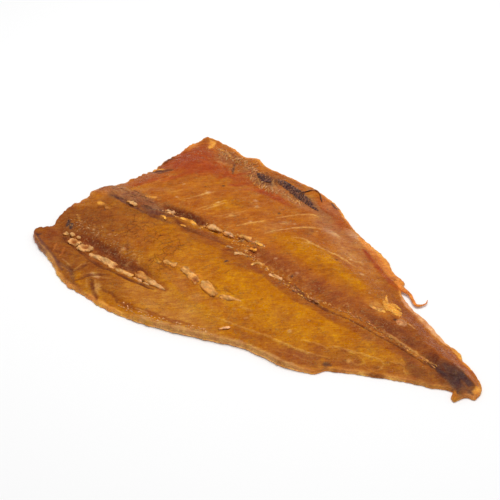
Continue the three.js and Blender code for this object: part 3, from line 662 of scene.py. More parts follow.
def windowed(value, low, high, run):
    """1 between two places, fading out over a run at each side."""
    return step(low - run, low + run, value) * (1 - step(high - run, high + run, value))


def curve_through(points):
    """A smooth curve through points that never swings past them (monotone cubic)."""
    xs, ys = np.array(points, float).T
    slopes = np.diff(ys) / np.diff(xs)
    before, after = slopes[:-1], slopes[1:]
    same_way = before * after > 0
    total = np.where(same_way, before + after, 1)
    inner = np.where(same_way, 2 * before * after / total, 0)
    tangents = np.concatenate([slopes[:1], inner, slopes[-1:]])

    def curve(place):
        i = np.clip(np.searchsorted(xs, place, side="right") - 1, 0, len(xs) - 2)
        run = xs[i + 1] - xs[i]
        t = np.clip((place - xs[i]) / run, 0, 1)
        bend = (2 * t - 3) * t * t
        swing = run * t * (1 - t) * ((1 - t) * tangents[i] - t * tangents[i + 1])
        return (bend + 1) * ys[i] - bend * ys[i + 1] + swing

    return curve


def lattice(i, j, seed):
    """A steady pseudo-random number from -1 to 1 at each whole place (i, j)."""
    h = (i.astype(np.int64) * 374761393 + j.astype(np.int64) * 668265263) & 0xFFFFFFFF
    h = ((h ^ (h >> 13)) * 1274126177 + seed * 974711) & 0xFFFFFFFF
    h = ((h ^ (h >> 15)) * 2246822519) & 0xFFFFFFFF
    return ((h ^ (h >> 16)) & 0xFFFF) / 32767.5 - 1


def noise(x, y, scale, seed):
    x, y = np.asarray(x, float) / scale, np.asarray(y, float) / scale
    i, j = np.floor(x), np.floor(y)
    s, t = step(0, 1, x - i), step(0, 1, y - j)
    low = mix(lattice(i, j, seed), lattice(i + 1, j, seed), s)
    high = mix(lattice(i, j + 1, seed), lattice(i + 1, j + 1, seed), s)
    return mix(low, high, t)


def cloud(x, y, scale, seed, octaves=3):
    total, weight = 0, 1
    for n in range(octaves):
        total = total + weight * noise(x + 31 * n, y - 17 * n, scale / 2.1**n, seed + n)
        weight *= 0.55
    return total


def smooth_route(points, spacing=0.6):
    """Catmull-Rom curve through points of any dimension, sampled about every spacing mm."""
    p = np.array(points, float)
    p = np.vstack([2 * p[0] - p[1], p, 2 * p[-1] - p[-2]])
    pieces = []
    for a, b, c, d in zip(p, p[1:], p[2:], p[3:]):
        count = max(2, int(np.linalg.norm(c - b) / spacing) + 1)
        t = np.linspace(0, 1, count, endpoint=False)[:, None]
        bend = 2 * a - 5 * b + 4 * c - d
        pieces.append(
            0.5 * (2 * b + (c - a) * t + bend * t**2 + (3 * (b - c) + d - a) * t**3)
        )
    return np.vstack([*pieces, p[-2:-1]])


def tree_of(places):
    """A search tree over plan places."""
    tree = kdtree.KDTree(len(places))
    for n, place in enumerate(places):
        tree.insert((*place, 0), n)
    tree.balance()
    return tree


def distances_to(tree, places):
    return np.array([tree.find((x, y, 0))[2] for x, y in places])


def tone_of(name):
    return np.array(TONES[name], float)


def tinted(colour, name, share):
    """A colour, or one for each point, with a share of a named tone laid over it."""
    return mix(colour, tone_of(name), share[:, None])


# ---- Plan outline ----

smooth_top = curve_through(TOP_EDGE)
smooth_bottom = curve_through(BOTTOM_EDGE)
smooth_head = curve_through(HEAD_EDGE)
seam_y = curve_through(SEAM_LINE)
groove_y = curve_through(GROOVE_LINE)


def ragged(place, seed, size):
    return size * (0.7 * noise(place, 0, 3.1, seed) + 0.6 * noise(place, 0, 1.2, seed + 1))


def top_y(x):
    return smooth_top(x) + ragged(x, 11, 0.45)


def bottom_y(x):
    return smooth_bottom(x) + ragged(x, 17, 0.45)


def head_x(y):
    return smooth_head(y) + ragged(y, 23, 1)


def plan_points(u, v):
    """Plan places for u from the head cut to the tail and v from edge to edge."""
    along = u * (1 + TAIL_CROWDING * (1 - u))
    across = v - EDGE_CROWDING * np.sin(2 * math.pi * v) / (2 * math.pi)
    base = mix(HEAD_X, TAIL_X, along)
    cut_y = mix(*HEAD_CORNERS, across)
    fade = 1 - step(0, HEAD_REACH, base - HEAD_X)
    x = base + (head_x(cut_y) - HEAD_X) * fade
    return x, mix(bottom_y(x), top_y(x), across)


def border_cells():
    """The grid places on the border, in order round the fish."""
    cells = [(i, 0) for i in range(CELLS_ALONG)]
    cells += [(CELLS_ALONG, j) for j in range(CELLS_ACROSS)]
    cells += [(i, CELLS_ACROSS) for i in range(CELLS_ALONG, 0, -1)]
    cells += [(0, j) for j in range(CELLS_ACROSS, 0, -1)]
    return np.array(cells)


BORDER = border_cells()
OUTLINE = np.column_stack(
    plan_points(BORDER[:, 0] / CELLS_ALONG, BORDER[:, 1] / CELLS_ACROSS)
)


def dense_outline():
    route = []
    for a, b in zip(OUTLINE, np.roll(OUTLINE, -1, axis=0)):
        gap = max(OUTLINE_SPACING, np.linalg.norm(b - a))
        route += [mix(a, b, share) for share in np.arange(0, 1, OUTLINE_SPACING / gap)]
    return route


OUTLINE_TREE = tree_of(dense_outline())


def distance_to_outline(x, y):
    return distances_to(OUTLINE_TREE, zip(x, y))


# ---- Marks on the surface ----


def region_share(x, y, mark):
    turn = math.radians(mark.turn)
    dx, dy = x - mark.x, y - mark.y
    along = (dx * math.cos(turn) + dy * math.sin(turn)) / mark.along
    across = (dy * math.cos(turn) - dx * math.sin(turn)) / mark.across
    return 1 - step(0.55, 1.35, np.hypot(along, across))


def stroke_share(x, y, mark):
    """How much of a stroke covers each place; a stroke thins towards both of its ends."""
    route = smooth_route(mark.points)
    share = np.linspace(0, 1, len(route))
    width = mark.half_width * (0.45 + 0.55 * step(0, 0.2, share) * (1 - step(0.8, 1, share)))
    covered = np.zeros(len(x))
    reach = 1.5 * mark.half_width
    (left, low), (right, high) = route.min(0) - reach, route.max(0) + reach
    near = np.flatnonzero((x > left) & (x < right) & (y > low) & (y < high))
    for part in np.array_split(near, max(1, len(near) // 4000)):
        gap = np.hypot(x[part, None] - route[:, 0], y[part, None] - route[:, 1]) / width
        covered[part] = 1 - step(0.45, 1.4, gap.min(1, initial=9))
    return covered


def spot_share(x, y, mark):
    return 1 - step(0.45, 1.3, np.hypot(x - mark.x, y - mark.y) / mark.radius)


def wandering(x, y):
    """Places shifted a little each way, so that no mark has a drawn edge."""
    wide = 1.5 * cloud(x, y, 8, 41, 2), 1.5 * cloud(x, y, 8, 47, 2)
    fine = 0.35 * noise(x, y, 1.7, 53), 0.35 * noise(x, y, 1.7, 59)
    return x + wide[0] + fine[0], y + wide[1] + fine[1], x + fine[0], y + fine[1]


def crease_share(x, y):
    """Thin lines round uneven cells, as where dried flesh has puckered; the flesh is sunk along them
    and tinted dark there as painted shade.
    """
    x = (x + 3 * cloud(x, y, 10, 141, 2)) / CREASE_CELL
    y = (y + 3 * cloud(x, y, 10, 147, 2)) / CREASE_CELL
    i, j = np.floor(x), np.floor(y)
    first, second = np.full(len(x), 9.0), np.full(len(x), 9.0)
    for di in (-1, 0, 1):
        for dj in (-1, 0, 1):
            across = i + di + 0.5 + 0.45 * lattice(i + di, j + dj, 151) - x
            along = j + dj + 0.5 + 0.45 * lattice(i + di, j + dj, 157) - y
            gap = np.hypot(across, along)
            second = np.minimum(second, np.maximum(first, gap))
            first = np.minimum(first, gap)
    return 1 - step(0.02, 0.13, second - first)


def creased(x, y):
    """How strongly the flesh is puckered: most near the head cut, below the seam."""
    field = windowed(x, -112, -30, 14) * windowed(y, -48, -14, 7)
    return field * step(-0.3, 0.6, cloud(x, y, 14, 161, 2))


def streaks(x, y, angle, length, width, seed):
    turn = math.radians(angle)
    along = x * math.cos(turn) + y * math.sin(turn)
    across = y * math.cos(turn) - x * math.sin(turn)
    return cloud(along * width / length, across, width, seed, 3)


def fibres(x, y):
    """Muscle fibres: they lean one way below the seam and the other way above it."""
    low = streaks(x, y + 2 * cloud(x, y, 20, 171, 1), 40, 9, 0.9, 173)
    high = streaks(x, y + 2 * cloud(x, y, 20, 171, 1), 62, 11, 1.1, 179)
    return mix(low, high, step(-3, 3, y - seam_y(x)))


def marks_relief(x, y):
    wide_x, wide_y, fine_x, fine_y = wandering(x, y)
    part_x, part_y = mix(fine_x, wide_x, BAND_STRAY), mix(fine_y, wide_y, BAND_STRAY)
    relief = FIBRE_RELIEF * fibres(x, y) - CREASE_DEPTH * creased(x, y) * crease_share(x, y)
    for mark in BANDS:
        relief += mark.relief * stroke_share(part_x, part_y, mark)
    for mark in LINES:
        relief += mark.relief * stroke_share(fine_x, fine_y, mark)
    for mark in SPECKS:
        relief -= SPECK_DEPTH * spot_share(x, y, mark)
    for mark in GLINTS:
        relief += GLINT_RISE * spot_share(x, y, mark)
    for bone in BONES:
        if not sunken(bone):
            relief -= HALO_DEPTH * stroke_share(x, y, bone_halo(bone))
    return relief + SPECKLE_RISE * speckle_and_highlight_share(x, y)


def sunken(bone):
    """Whether the flesh closes round the bone, so that no dent with painted shadow lies beside it."""
    return bone.proud < -0.1


def bone_halo(bone):
    """The stretch of flesh under and beside a bone, of which only the places are used."""
    return Stroke([bone.start, bone.end], bone.width / 2 + 0.8, None, 0, 0)


def bead_and_highlight_share(x, y):
    """How thickly dried beads lie, raised and painted pale as highlights: on the walls of the groove
    and beside the seam.
    """
    beside_groove = windowed(x, -104, -50, 6) * bell(y - groove_y(x) - 8, 7)
    by_seam = 0.7 * bell(y - seam_y(x), 7) * (1 - 0.9 * step(70, 95, x))
    shoulder = 0.8 * windowed(x, -110, -20, 8) * windowed(y, 44, 60, 4)
    return np.clip(0.75 * beside_groove + by_seam + shoulder + 0.08, 0, 1)


# Pale raised speckles among the beads; their paleness is painted highlight.
def speckle_and_highlight_share(x, y):
    return bead_and_highlight_share(x, y) * step(0.55, 0.85, noise(x, y, 1.15, 191))


def base_colour(x, y):
    """The broad colour of the flesh before its marks."""
    lower = tinted(tone_of("lower_head"), "lower_mid", step(-95, -15, x))
    lower = tinted(lower, "lower_tail", step(45, 100, x))
    return tinted(lower, "upper", step(-8, 6, y - seam_y(x)))


def marked(colour, x, y):
    """The flesh's colour with every mark of the lists laid over it in turn."""
    wide_x, wide_y, fine_x, fine_y = wandering(x, y)
    part_x, part_y = mix(fine_x, wide_x, BAND_STRAY), mix(fine_y, wide_y, BAND_STRAY)
    uneven = 1 + 0.35 * cloud(x, y, 4.5, 61, 2)
    layers = [(m, region_share(wide_x, wide_y, m) * uneven) for m in REGIONS]
    layers += [(m, stroke_share(part_x, part_y, m) * uneven) for m in BANDS]
    layers += [(m, stroke_share(fine_x, fine_y, m)) for m in LINES]
    for mark, share in layers:
        colour = tinted(colour, mark.tone, np.clip(share * mark.strength, 0, 1))
    for mark in SPECKS + GLINTS:
        colour = tinted(colour, mark.tone, SPOT_STRENGTH * spot_share(x, y, mark))
    return colour


def marks_colour(x, y, inset):
    """8-bit sRGB colour of the top of the flesh, inset being the distance from the edge."""
    colour = base_colour(*wandering(x, y)[:2])
    for tone, strength, scale, seed in MOTTLES:
        colour = tinted(colour, tone, strength * step(0.1, 1.1, cloud(x, y, scale, seed, 3)))
    colour = marked(colour, x, y)
    # Painted shadow round each bone that stands proud, a faint straw tint round a sunken one.
    for bone in BONES:
        tone, strength = SUNKEN_HALO if sunken(bone) else BONE_PAINTED_SHADOW
        colour = tinted(colour, tone, strength * stroke_share(x, y, bone_halo(bone)))
    # Painted shade in the creases.
    colour = tinted(colour, "umber", CREASE_SHADE_STRENGTH * creased(x, y) * crease_share(x, y))
    # Painted highlights on the speckles.
    colour = tinted(colour, "pale", SPECKLE_HIGHLIGHT_STRENGTH * speckle_and_highlight_share(x, y))
    mottle = 1 + 0.06 * cloud(x, y, 6, 71) + 0.04 * cloud(x, y, 1.8, 73, 2) + 0.035 * fibres(x, y)
    colour = colour * mottle[:, None] ** np.array(REDDER_WHEN_DARK)
    # Near the outline, painted glow of light through the thin edge, less at the tail's end.
    thin = bell(inset, 1.3) * np.clip(0.75 + 0.5 * cloud(x, y, 5, 197, 2), 0.15, 1)
    thin = thin * (1 - 0.6 * windowed(x, 115, 123, 3))
    return np.clip(mix(colour, edge_glow_and_colour(x, y), thin[:, None]), 0, 255)


def sliced_share(x):
    """1 along the stretches where the lower edge was sliced, and so is thicker and paler."""
    return np.max([windowed(x, *ends, CUT_EDGE_RUN) for ends in CUT_EDGE_STRETCHES], axis=0)


def edge_glow_and_colour(x, y):
    """Painted glow of light coming through the thin edge, and the edge's own colours: the sliced
    stretches of the lower edge are paler.
    """
    above_seam = y - seam_y(x)
    colour = tinted(tone_of("glow"), "flame", step(-0.4, 0.6, cloud(x, y, 7, 199, 2)))
    colour = tinted(colour, "hide", np.where(above_seam < 0, mix(0.35, 0.85, sliced_share(x)), 0))
    # A pale rim of skin where the upper edge is torn, with painted sheen.
    colour = tinted(colour, "shell", 0.8 * windowed(x, *TORN_EDGE, 5) * step(0, 3, above_seam))
    browned = (1 - step(*BROWNED_EDGE, x)) * (1 - step(-40, -24, y))
    return tinted(colour, "rust", 0.85 * browned)


# ---- Height of the top surface ----


def muscle_height(x, y):
    seam = seam_y(x)
    half_width = np.where(y > seam, top_y(x) - seam, seam - bottom_y(x))
    flank = 1 - FLANK_FALL * step(FLANK_START, 1, np.abs(y - seam) / half_width)
    height = (MUSCLE_THIN + MUSCLE_RISE * bell(x - MUSCLE_MID_X, MUSCLE_SPREAD)) * flank
    height -= SEAM_DEPTH * bell(y - seam, SEAM_WIDTH) * step(*SEAM_OPENS, x)
    in_groove = windowed(x, *GROOVE_ENDS, GROOVE_RUN)
    height -= GROOVE_DEPTH * bell(y - groove_y(x), GROOVE_WIDTH) * in_groove
    for mound in MOUNDS:
        height += mound.rise * bell(x - mound.x, mound.spread_x) * bell(y - mound.y, mound.spread_y)
    return height


def texture_relief(x, y):
    """The small unevenness of the flesh, field by field."""
    relief = 0.25 * cloud(x, y, 15, 81) + 0.12 * cloud(x, y, 4.2, 83, 2)
    blistered = windowed(x, -110, -55, 8) * windowed(y, -42, -16, 5)
    relief += 0.35 * blistered * cloud(x, y, 4.6, 91, 2)
    strands = windowed(x, -110, -70, 6) * windowed(y, -15, -3, 3)
    wave = y + 1.6 * cloud(x, y, 9, 95, 2)
    relief += 0.35 * strands * np.sin(wave * 2.6)
    flakes = windowed(x, -95, 5, 10) * windowed(y, 8, 42, 6)
    lean = x - 0.35 * y + 2.2 * cloud(x, y, 12, 97, 2)
    relief += 0.16 * flakes * np.sin(lean * 0.62)
    return relief


def rim_height(x, y):
    near_cut = bell(x - HEAD_X, CUT_REACH) * bell(y, CUT_SPREAD)
    sliced = np.where(y < seam_y(x), sliced_share(x), 0)
    return mix(RIM_HEIGHT + CUT_EDGE_RISE * sliced, CUT_HEIGHT, near_cut)


def surface_height(x, y):
    """Height of the top surface, in mm, from the lip of the edge inwards."""
    x, y = np.atleast_1d(np.asarray(x, float)), np.atleast_1d(np.asarray(y, float))
    distance = distance_to_outline(x, y)
    inward = 1 - np.exp(-distance / RIM_RUN)
    rim = rim_height(x, y)
    muscle = muscle_height(x, y) + texture_relief(x, y) + marks_relief(x, y)
    height = mix(rim, np.maximum(muscle, 1.2), inward)
    round_over = np.clip(distance / LIP_RUN, 0, 1)
    lip = rim * LIP_SHARE
    return mix(lip, height, np.sqrt(1 - (1 - round_over) ** 2))


# ---- Making meshes ----


def to_metres(points):
    """Plan points in mm to the part's frame in metres."""
    return (np.asarray(points, float) - PLAN_TO_PART) / 1000


def to_linear(colour):
    c = np.clip(np.asarray(colour, float) / 255, 0, 1)
    return np.where(c <= 0.04045, c / 12.92, ((c + 0.055) / 1.055) ** 2.4)


def add_piece(name, points, faces, colours, materials, face_materials=None, shares=()):
    """A mesh riding the body. shares are named weights, one for each point, for its material."""
    mesh = bpy.data.meshes.new(name)
    mesh.from_pydata(to_metres(points).tolist(), [], [tuple(map(int, f)) for f in faces])
    mesh.polygons.foreach_set("use_smooth", [True] * len(mesh.polygons))
    if face_materials is not None:
        mesh.polygons.foreach_set("material_index", face_materials)
    tint = mesh.color_attributes.new("tint", "FLOAT_COLOR", "POINT")
    rgba = np.ones((len(points), 4))
    rgba[:, :3] = to_linear(np.broadcast_to(colours, (len(points), 3)))
    tint.data.foreach_set("color", rgba.ravel().astype(np.float32))
    for key, values in shares:
        share = mesh.attributes.new(key, "FLOAT", "POINT")
        share.data.foreach_set("value", np.asarray(values, np.float32))
    for material in materials:
        mesh.materials.append(material)
    mesh.update()
    piece = bpy.data.objects.new(name, mesh)
    bpy.context.scene.collection.objects.link(piece)
    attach(piece, "root")
    return piece


def filled(outline, spacing, margin):
    """Triangles that fill a closed plan outline; its own points come first."""
    low, high = outline.min(0), outline.max(0)
    columns, rows = ((high - low) / spacing).astype(int) + 1
    inner = []
    edge = tree_of(outline)
    after = np.roll(outline, -1, axis=0)
    for j in range(rows):
        y = low[1] + (j + 0.5) * spacing
        crosses = (outline[:, 1] > y) != (after[:, 1] > y)
        a, b = outline[crosses], after[crosses]
        cuts = np.sort(a[:, 0] + (y - a[:, 1]) / (b[:, 1] - a[:, 1]) * (b[:, 0] - a[:, 0]))
        for i in range(columns):
            x = low[0] + (i + 0.5 * (j % 2)) * spacing
            if np.count_nonzero(cuts < x) % 2 and edge.find((x, y, 0))[2] > margin:
                inner.append((x, y))
    places = np.vstack([outline, inner]) if inner else outline
    count = len(outline)
    loop = [(n, (n + 1) % count) for n in range(count)]
    result = geometry.delaunay_2d_cdt([Vector(p) for p in places], loop, [], 1, 1e-6)
    if len(result[0]) != len(places):
        raise ValueError("the outline crosses itself")
    return places, [tuple(face) for face in result[2]]


# ---- The flesh ----


def grid_index(i, j):
    return i * (CELLS_ACROSS + 1) + j


def skin_colour(x, y):
    """The skin is darkest along the back, which lies under the seam."""
    out = np.abs(y - seam_y(x)) / np.where(
        y > seam_y(x), smooth_top(x) - seam_y(x), seam_y(x) - smooth_bottom(x)
    )
    colour = tinted(tone_of("back"), "flank", step(0.05, 0.45, out + 0.08 * cloud(x, y, 9, 101)))
    colour = tinted(colour, "belly", step(0.5, 0.95, out))
    bars = windowed(out, 0, 0.62, 0.2) * step(0.15, 0.7, cloud(x, y * 0.4, 15, 103, 2))
    colour = tinted(colour, "bar", 0.55 * bars)
    return np.clip(colour * (1 + 0.08 * cloud(x, y, 3, 107))[:, None], 0, 255)


def edge_wall(inner, lip, lip_colours):
    """Rings round the edge from the lip down to the foot, bulging and frayed, with their tints: the
    lip's colours lifted by painted light, streaked, and darker towards the foot.
    """
    away = OUTLINE - inner
    away /= np.linalg.norm(away, axis=1)[:, None]
    place = np.arange(len(OUTLINE)) * 1.0
    rings, tints = [], []
    for number, share in enumerate(WALL_SHARES):
        bulge = WALL_BULGE * math.sin(math.pi * (0.25 + 0.75 * share))
        fray = 0.22 * noise(place, place * 0, 3.3, 211 + number)
        height = mix(lip, FOOT_HEIGHT, share)
        rings.append(np.column_stack([OUTLINE + (bulge + fray)[:, None] * away, height]))
        # Painted light lifts the tint, which is also streaked and darker lower down.
        streak_and_painted_light = WALL_PAINTED_LIGHT_GAIN + 0.14 * cloud(place, place * 0, 4, 221, 3) - 0.12 * share
        tints.append(np.clip(lip_colours * streak_and_painted_light[:, None], 0, 255))
    rings.append(np.column_stack([mix(OUTLINE, inner, 0.1), np.full(len(OUTLINE), FOOT_HEIGHT)]))
    tints.append(np.clip(lip_colours * 0.85, 0, 255))
    return rings, tints


def build_flesh(materials):
    i, j = np.meshgrid(np.arange(CELLS_ALONG + 1), np.arange(CELLS_ACROSS + 1), indexing="ij")
    x, y = plan_points(i.ravel() / CELLS_ALONG, j.ravel() / CELLS_ACROSS)
    top = np.column_stack([x, y, surface_height(x, y)])
    a = grid_index(i[:-1, :-1], j[:-1, :-1]).ravel()
    across, along = 1, CELLS_ACROSS + 1
    top_faces = np.column_stack([a, a + along, a + along + across, a + across])
    colours = marks_colour(x, y, distance_to_outline(x, y))

    inner_i = np.clip(BORDER[:, 0], 1, CELLS_ALONG - 1)
    inner_j = np.clip(BORDER[:, 1], 1, CELLS_ACROSS - 1)
    inner = np.column_stack(plan_points(inner_i / CELLS_ALONG, inner_j / CELLS_ACROSS))
    count = len(BORDER)
    here = grid_index(BORDER[:, 0], BORDER[:, 1])
    wall_rings, wall_tints = edge_wall(inner, top[here, 2], colours[here])
    places, sole_faces = filled(mix(OUTLINE, inner, 0.6), SOLE_SPACING, SOLE_MARGIN)
    sole = np.column_stack([places, np.zeros(len(places))])
    starts = [len(top) + count * n for n in range(len(wall_rings))]
    foot_start, sole_start = starts[-1], len(top) + count * len(wall_rings)
    ring = [(n, (n + 1) % count) for n in range(count)]
    wall_faces = [(here[n], starts[0] + n, starts[0] + m, here[m]) for n, m in ring]
    for above, below in zip(starts, starts[1:]):
        wall_faces += [(above + n, below + n, below + m, above + m) for n, m in ring]
    fold_faces = [(foot_start + n, sole_start + n, sole_start + m, foot_start + m) for n, m in ring]
    under_faces = [tuple(sole_start + k for k in reversed(face)) for face in sole_faces]
    faces = top_faces.tolist() + wall_faces + fold_faces + under_faces
    on_skin = [0] * (len(top_faces) + len(wall_faces)) + [1] * (len(fold_faces) + len(under_faces))
    points = np.vstack([top, *wall_rings, sole])
    tints = np.vstack([colours, *wall_tints, skin_colour(places[:, 0], places[:, 1])])
    rest = np.zeros(len(points) - len(top))
    shares = (
        ("beads", np.concatenate([bead_and_highlight_share(x, y), rest])),
        ("creases", np.concatenate([creased(x, y), rest])),
    )
    flesh = add_piece("smoked_flesh", points, faces, tints, materials, on_skin, shares)
    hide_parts("flesh")


# ---- Rods: bones, chips and threads ----


def signed_power(value, power):
    return np.sign(value) * np.abs(value) ** power


def rod_mesh(route, half_widths, half_heights, sides, squareness=1.0, unevenness=0.0, seed=0):
    """A closed rod along a 3-D route. Below 1, squareness flattens its top and its sides."""
    run = np.gradient(route, axis=0)
    flat = np.column_stack([-run[:, 1], run[:, 0], np.zeros(len(run))])
    side = flat / np.maximum(np.linalg.norm(flat, axis=1), 1e-9)[:, None]
    rise = np.cross(run, side)
    rise /= np.maximum(np.linalg.norm(rise, axis=1), 1e-9)[:, None]
    angles = 2 * math.pi * np.arange(sides) / sides
    across = signed_power(np.cos(angles), squareness)
    upward = signed_power(np.sin(angles), squareness)
    rings = []
    for n, centre in enumerate(route):
        ring_x, ring_y = 0.5 * centre[0] + 1.8 * across, 0.5 * centre[1] + 1.8 * upward
        bumps = 1 + unevenness * cloud(ring_x, ring_y, 1.6, seed, 3)
        out = np.outer(across * half_widths[n] * bumps, side[n])
        up = np.outer(upward * half_heights[n] * bumps, rise[n])
        rings.append(centre + out + up)
    points = np.vstack([*rings, route[:1], route[-1:]])
    faces = []
    for n in range(len(route) - 1):
        for k in range(sides):
            m = (k + 1) % sides
            faces.append((n * sides + k, (n + 1) * sides + k, (n + 1) * sides + m, n * sides + m))
    first, last = len(route) * sides, len(route) * sides + 1
    end = (len(route) - 1) * sides
    for k in range(sides):
        m = (k + 1) % sides
        faces.append((first, k, m))
        faces.append((last, end + m, end + k))
    return points, faces


def smoothed(values, width):
    pad = width // 2
    return np.convolve(np.pad(values, pad, mode="edge"), np.ones(width) / width, mode="valid")


def bone_colour(points, tone, seed):
    """Pale on top with amber sides, the amber sides being painted shade; streaked, flecked dark, and
    with painted highlights.
    """
    height = points[:, 2]
    topness = (height - height.min()) / (height.max() - height.min())
    # The tone on top and amber lower down: painted shade on the sides.
    colour = tinted(tone_of("amber"), tone, step(0.3, 0.95, topness))
    shade = 1 + 0.18 * cloud(points[:, 0] * 0.45, points[:, 1], 1.1, seed, 3)
    flecks = step(0.6, 0.95, noise(points[:, 0], points[:, 1], 0.8, seed + 5))
    # Painted highlights in pale streaks.
    painted_bone_highlight = step(0.25, 0.9, cloud(points[:, 0] * 0.5, points[:, 1], 1.3, seed + 9, 2))
    colour = tinted(colour * shade[:, None], "umber", 0.45 * flecks)
    return np.clip(tinted(colour, "bone_highlight_tone", 0.35 * painted_bone_highlight), 0, 255)


# Each shape is how full the bone is at shares of its length. hollow: where along the bone its
# top is sunk, how far that reaches and how deep, in mm. bow: how far it bends aside, in mm.
# proud: how far its middle stands above the flesh, as a share of its height.
Bone = namedtuple("Bone", "name start end width height shape tone hollow bow proud")
ROUND = [(0, 0.45), (0.08, 0.8), (0.3, 1), (0.65, 1), (0.9, 0.8), (1, 0.45)]
BLUNT = [(0, 0.7), (0.06, 0.95), (0.3, 1), (0.7, 0.95), (0.94, 0.9), (1, 0.7)]
FLARED = [(0, 0.4), (0.12, 0.56), (0.3, 0.58), (0.55, 0.72), (0.8, 0.9), (0.95, 1), (1, 1)]
SPIKE = [(0, 0.7), (0.06, 1), (0.25, 0.95), (0.6, 0.6), (0.9, 0.26), (1, 0.1)]
CLUB = [(0, 0.5), (0.1, 0.9), (0.35, 1), (0.52, 0.7), (0.62, 0.36), (0.9, 0.3), (1, 0.2)]
BONES = [
    Bone(
        "bone_outer_1", (-94, -54.4), (-86.6, -55),
        4.8, 2, ROUND, "bone", (0.5, 1.6, 1.2), 0.3, 0.1,
    ),
    Bone(
        "bone_outer_2", (-85.6, -56), (-77.8, -52.4),
        5.2, 2.4, ROUND, "bone", (0.5, 1.9, 1.2), 0.4, 0.1,
    ),
    Bone(
        "bone_outer_3", (-75.6, -56.9), (-58, -54),
        5.4, 2.2, FLARED, "bone", (0.99, 1.4, 0.7), 0.7, 0.08,
    ),
    Bone("bone_outer_4", (-57.4, -55), (-45.6, -54), 3.2, 1.6, BLUNT, "straw", (0.5, 0.1, 0), 0.3, 0),
    Bone(
        "bone_outer_5", (-47, -50.8), (-24.2, -51.8),
        5, 2.2, SPIKE, "bone", (0.1, 1.2, 0.3), 0.3, 0.08,
    ),
    Bone(
        "bone_inner_1", (-28.4, -35), (-14.6, -39.4),
        4.6, 2, BLUNT, "straw", (0.85, 1.6, 0.5), 0.4, -0.2,
    ),
    Bone(
        "bone_inner_2", (-13.4, -37.2), (-0.8, -39.4),
        5, 2.2, BLUNT, "straw", (0.5, 0.1, 0), 0.3, -0.14,
    ),
    Bone(
        "bone_inner_3", (0.2, -38.8), (12, -34.6),
        3.6, 1.8, CLUB, "straw", (0.3, 0.1, 0), 0.4, -0.22,
    ),
]
BONE_STATIONS = 56
BONE_SIDES = 40
JAG = 0.8


def jagged_ends(points, start, end, seed):
    """Shifts along the bone that leave both of its ends broken and uneven."""
    run = (end - start) / np.linalg.norm(end - start)
    along = (points[:, :2] - start) @ run / np.linalg.norm(end - start)
    across = (points[:, :2] - start) @ np.array([-run[1], run[0]])
    wave = JAG * noise(across, points[:, 2], 0.9, seed + 11)
    wave = wave * (step(0.25, 0, along) + step(0.75, 1, along))
    return np.column_stack([wave[:, None] * run, np.zeros(len(points))])


def build_bone(bone, seed, material):
    share = 0.5 - 0.5 * np.cos(math.pi * np.linspace(0, 1, BONE_STATIONS))
    start, end = np.array(bone.start, float), np.array(bone.end, float)
    aside = np.array([start[1] - end[1], end[0] - start[0]]) / np.linalg.norm(end - start)
    plan = start + share[:, None] * (end - start)
    plan += (bone.bow * np.sin(3.5 * share + seed))[:, None] * aside
    fullness = curve_through(bone.shape)(share)
    closing = np.sqrt(np.clip(1 - np.abs(2 * share - 1) ** 16, 0.02, 1))
    closing = closing * (1 + 0.12 * cloud(share * 9, share * 0, 1.3, seed + 3, 2))
    height = smoothed(surface_height(plan[:, 0], plan[:, 1]), 15)
    route = np.column_stack([plan, height + bone.proud * bone.height])
    wide = fullness * closing * bone.width / 2
    tall = mix(0.55, 1, fullness) * closing * bone.height / 2
    points, faces = rod_mesh(route, wide, tall, BONE_SIDES, 0.85, 0.2, seed)
    points += jagged_ends(points, start, end, seed)
    place, reach, depth = bone.hollow
    centre = start + place * (end - start)
    sunk = bell(np.hypot(*(points[:, :2] - centre).T), reach)
    low = np.interp(points[:, 0], route[:, 0], route[:, 2])
    points[:, 2] -= depth * sunk * (points[:, 2] > low)
    colour = bone_colour(points, bone.tone, seed + 7)
    colour = tinted(colour, "rust", 0.8 * sunk * (depth > 0))
    piece = add_piece(bone.name + "_fine", points, faces, colour, [material])
    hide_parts(bone.name)


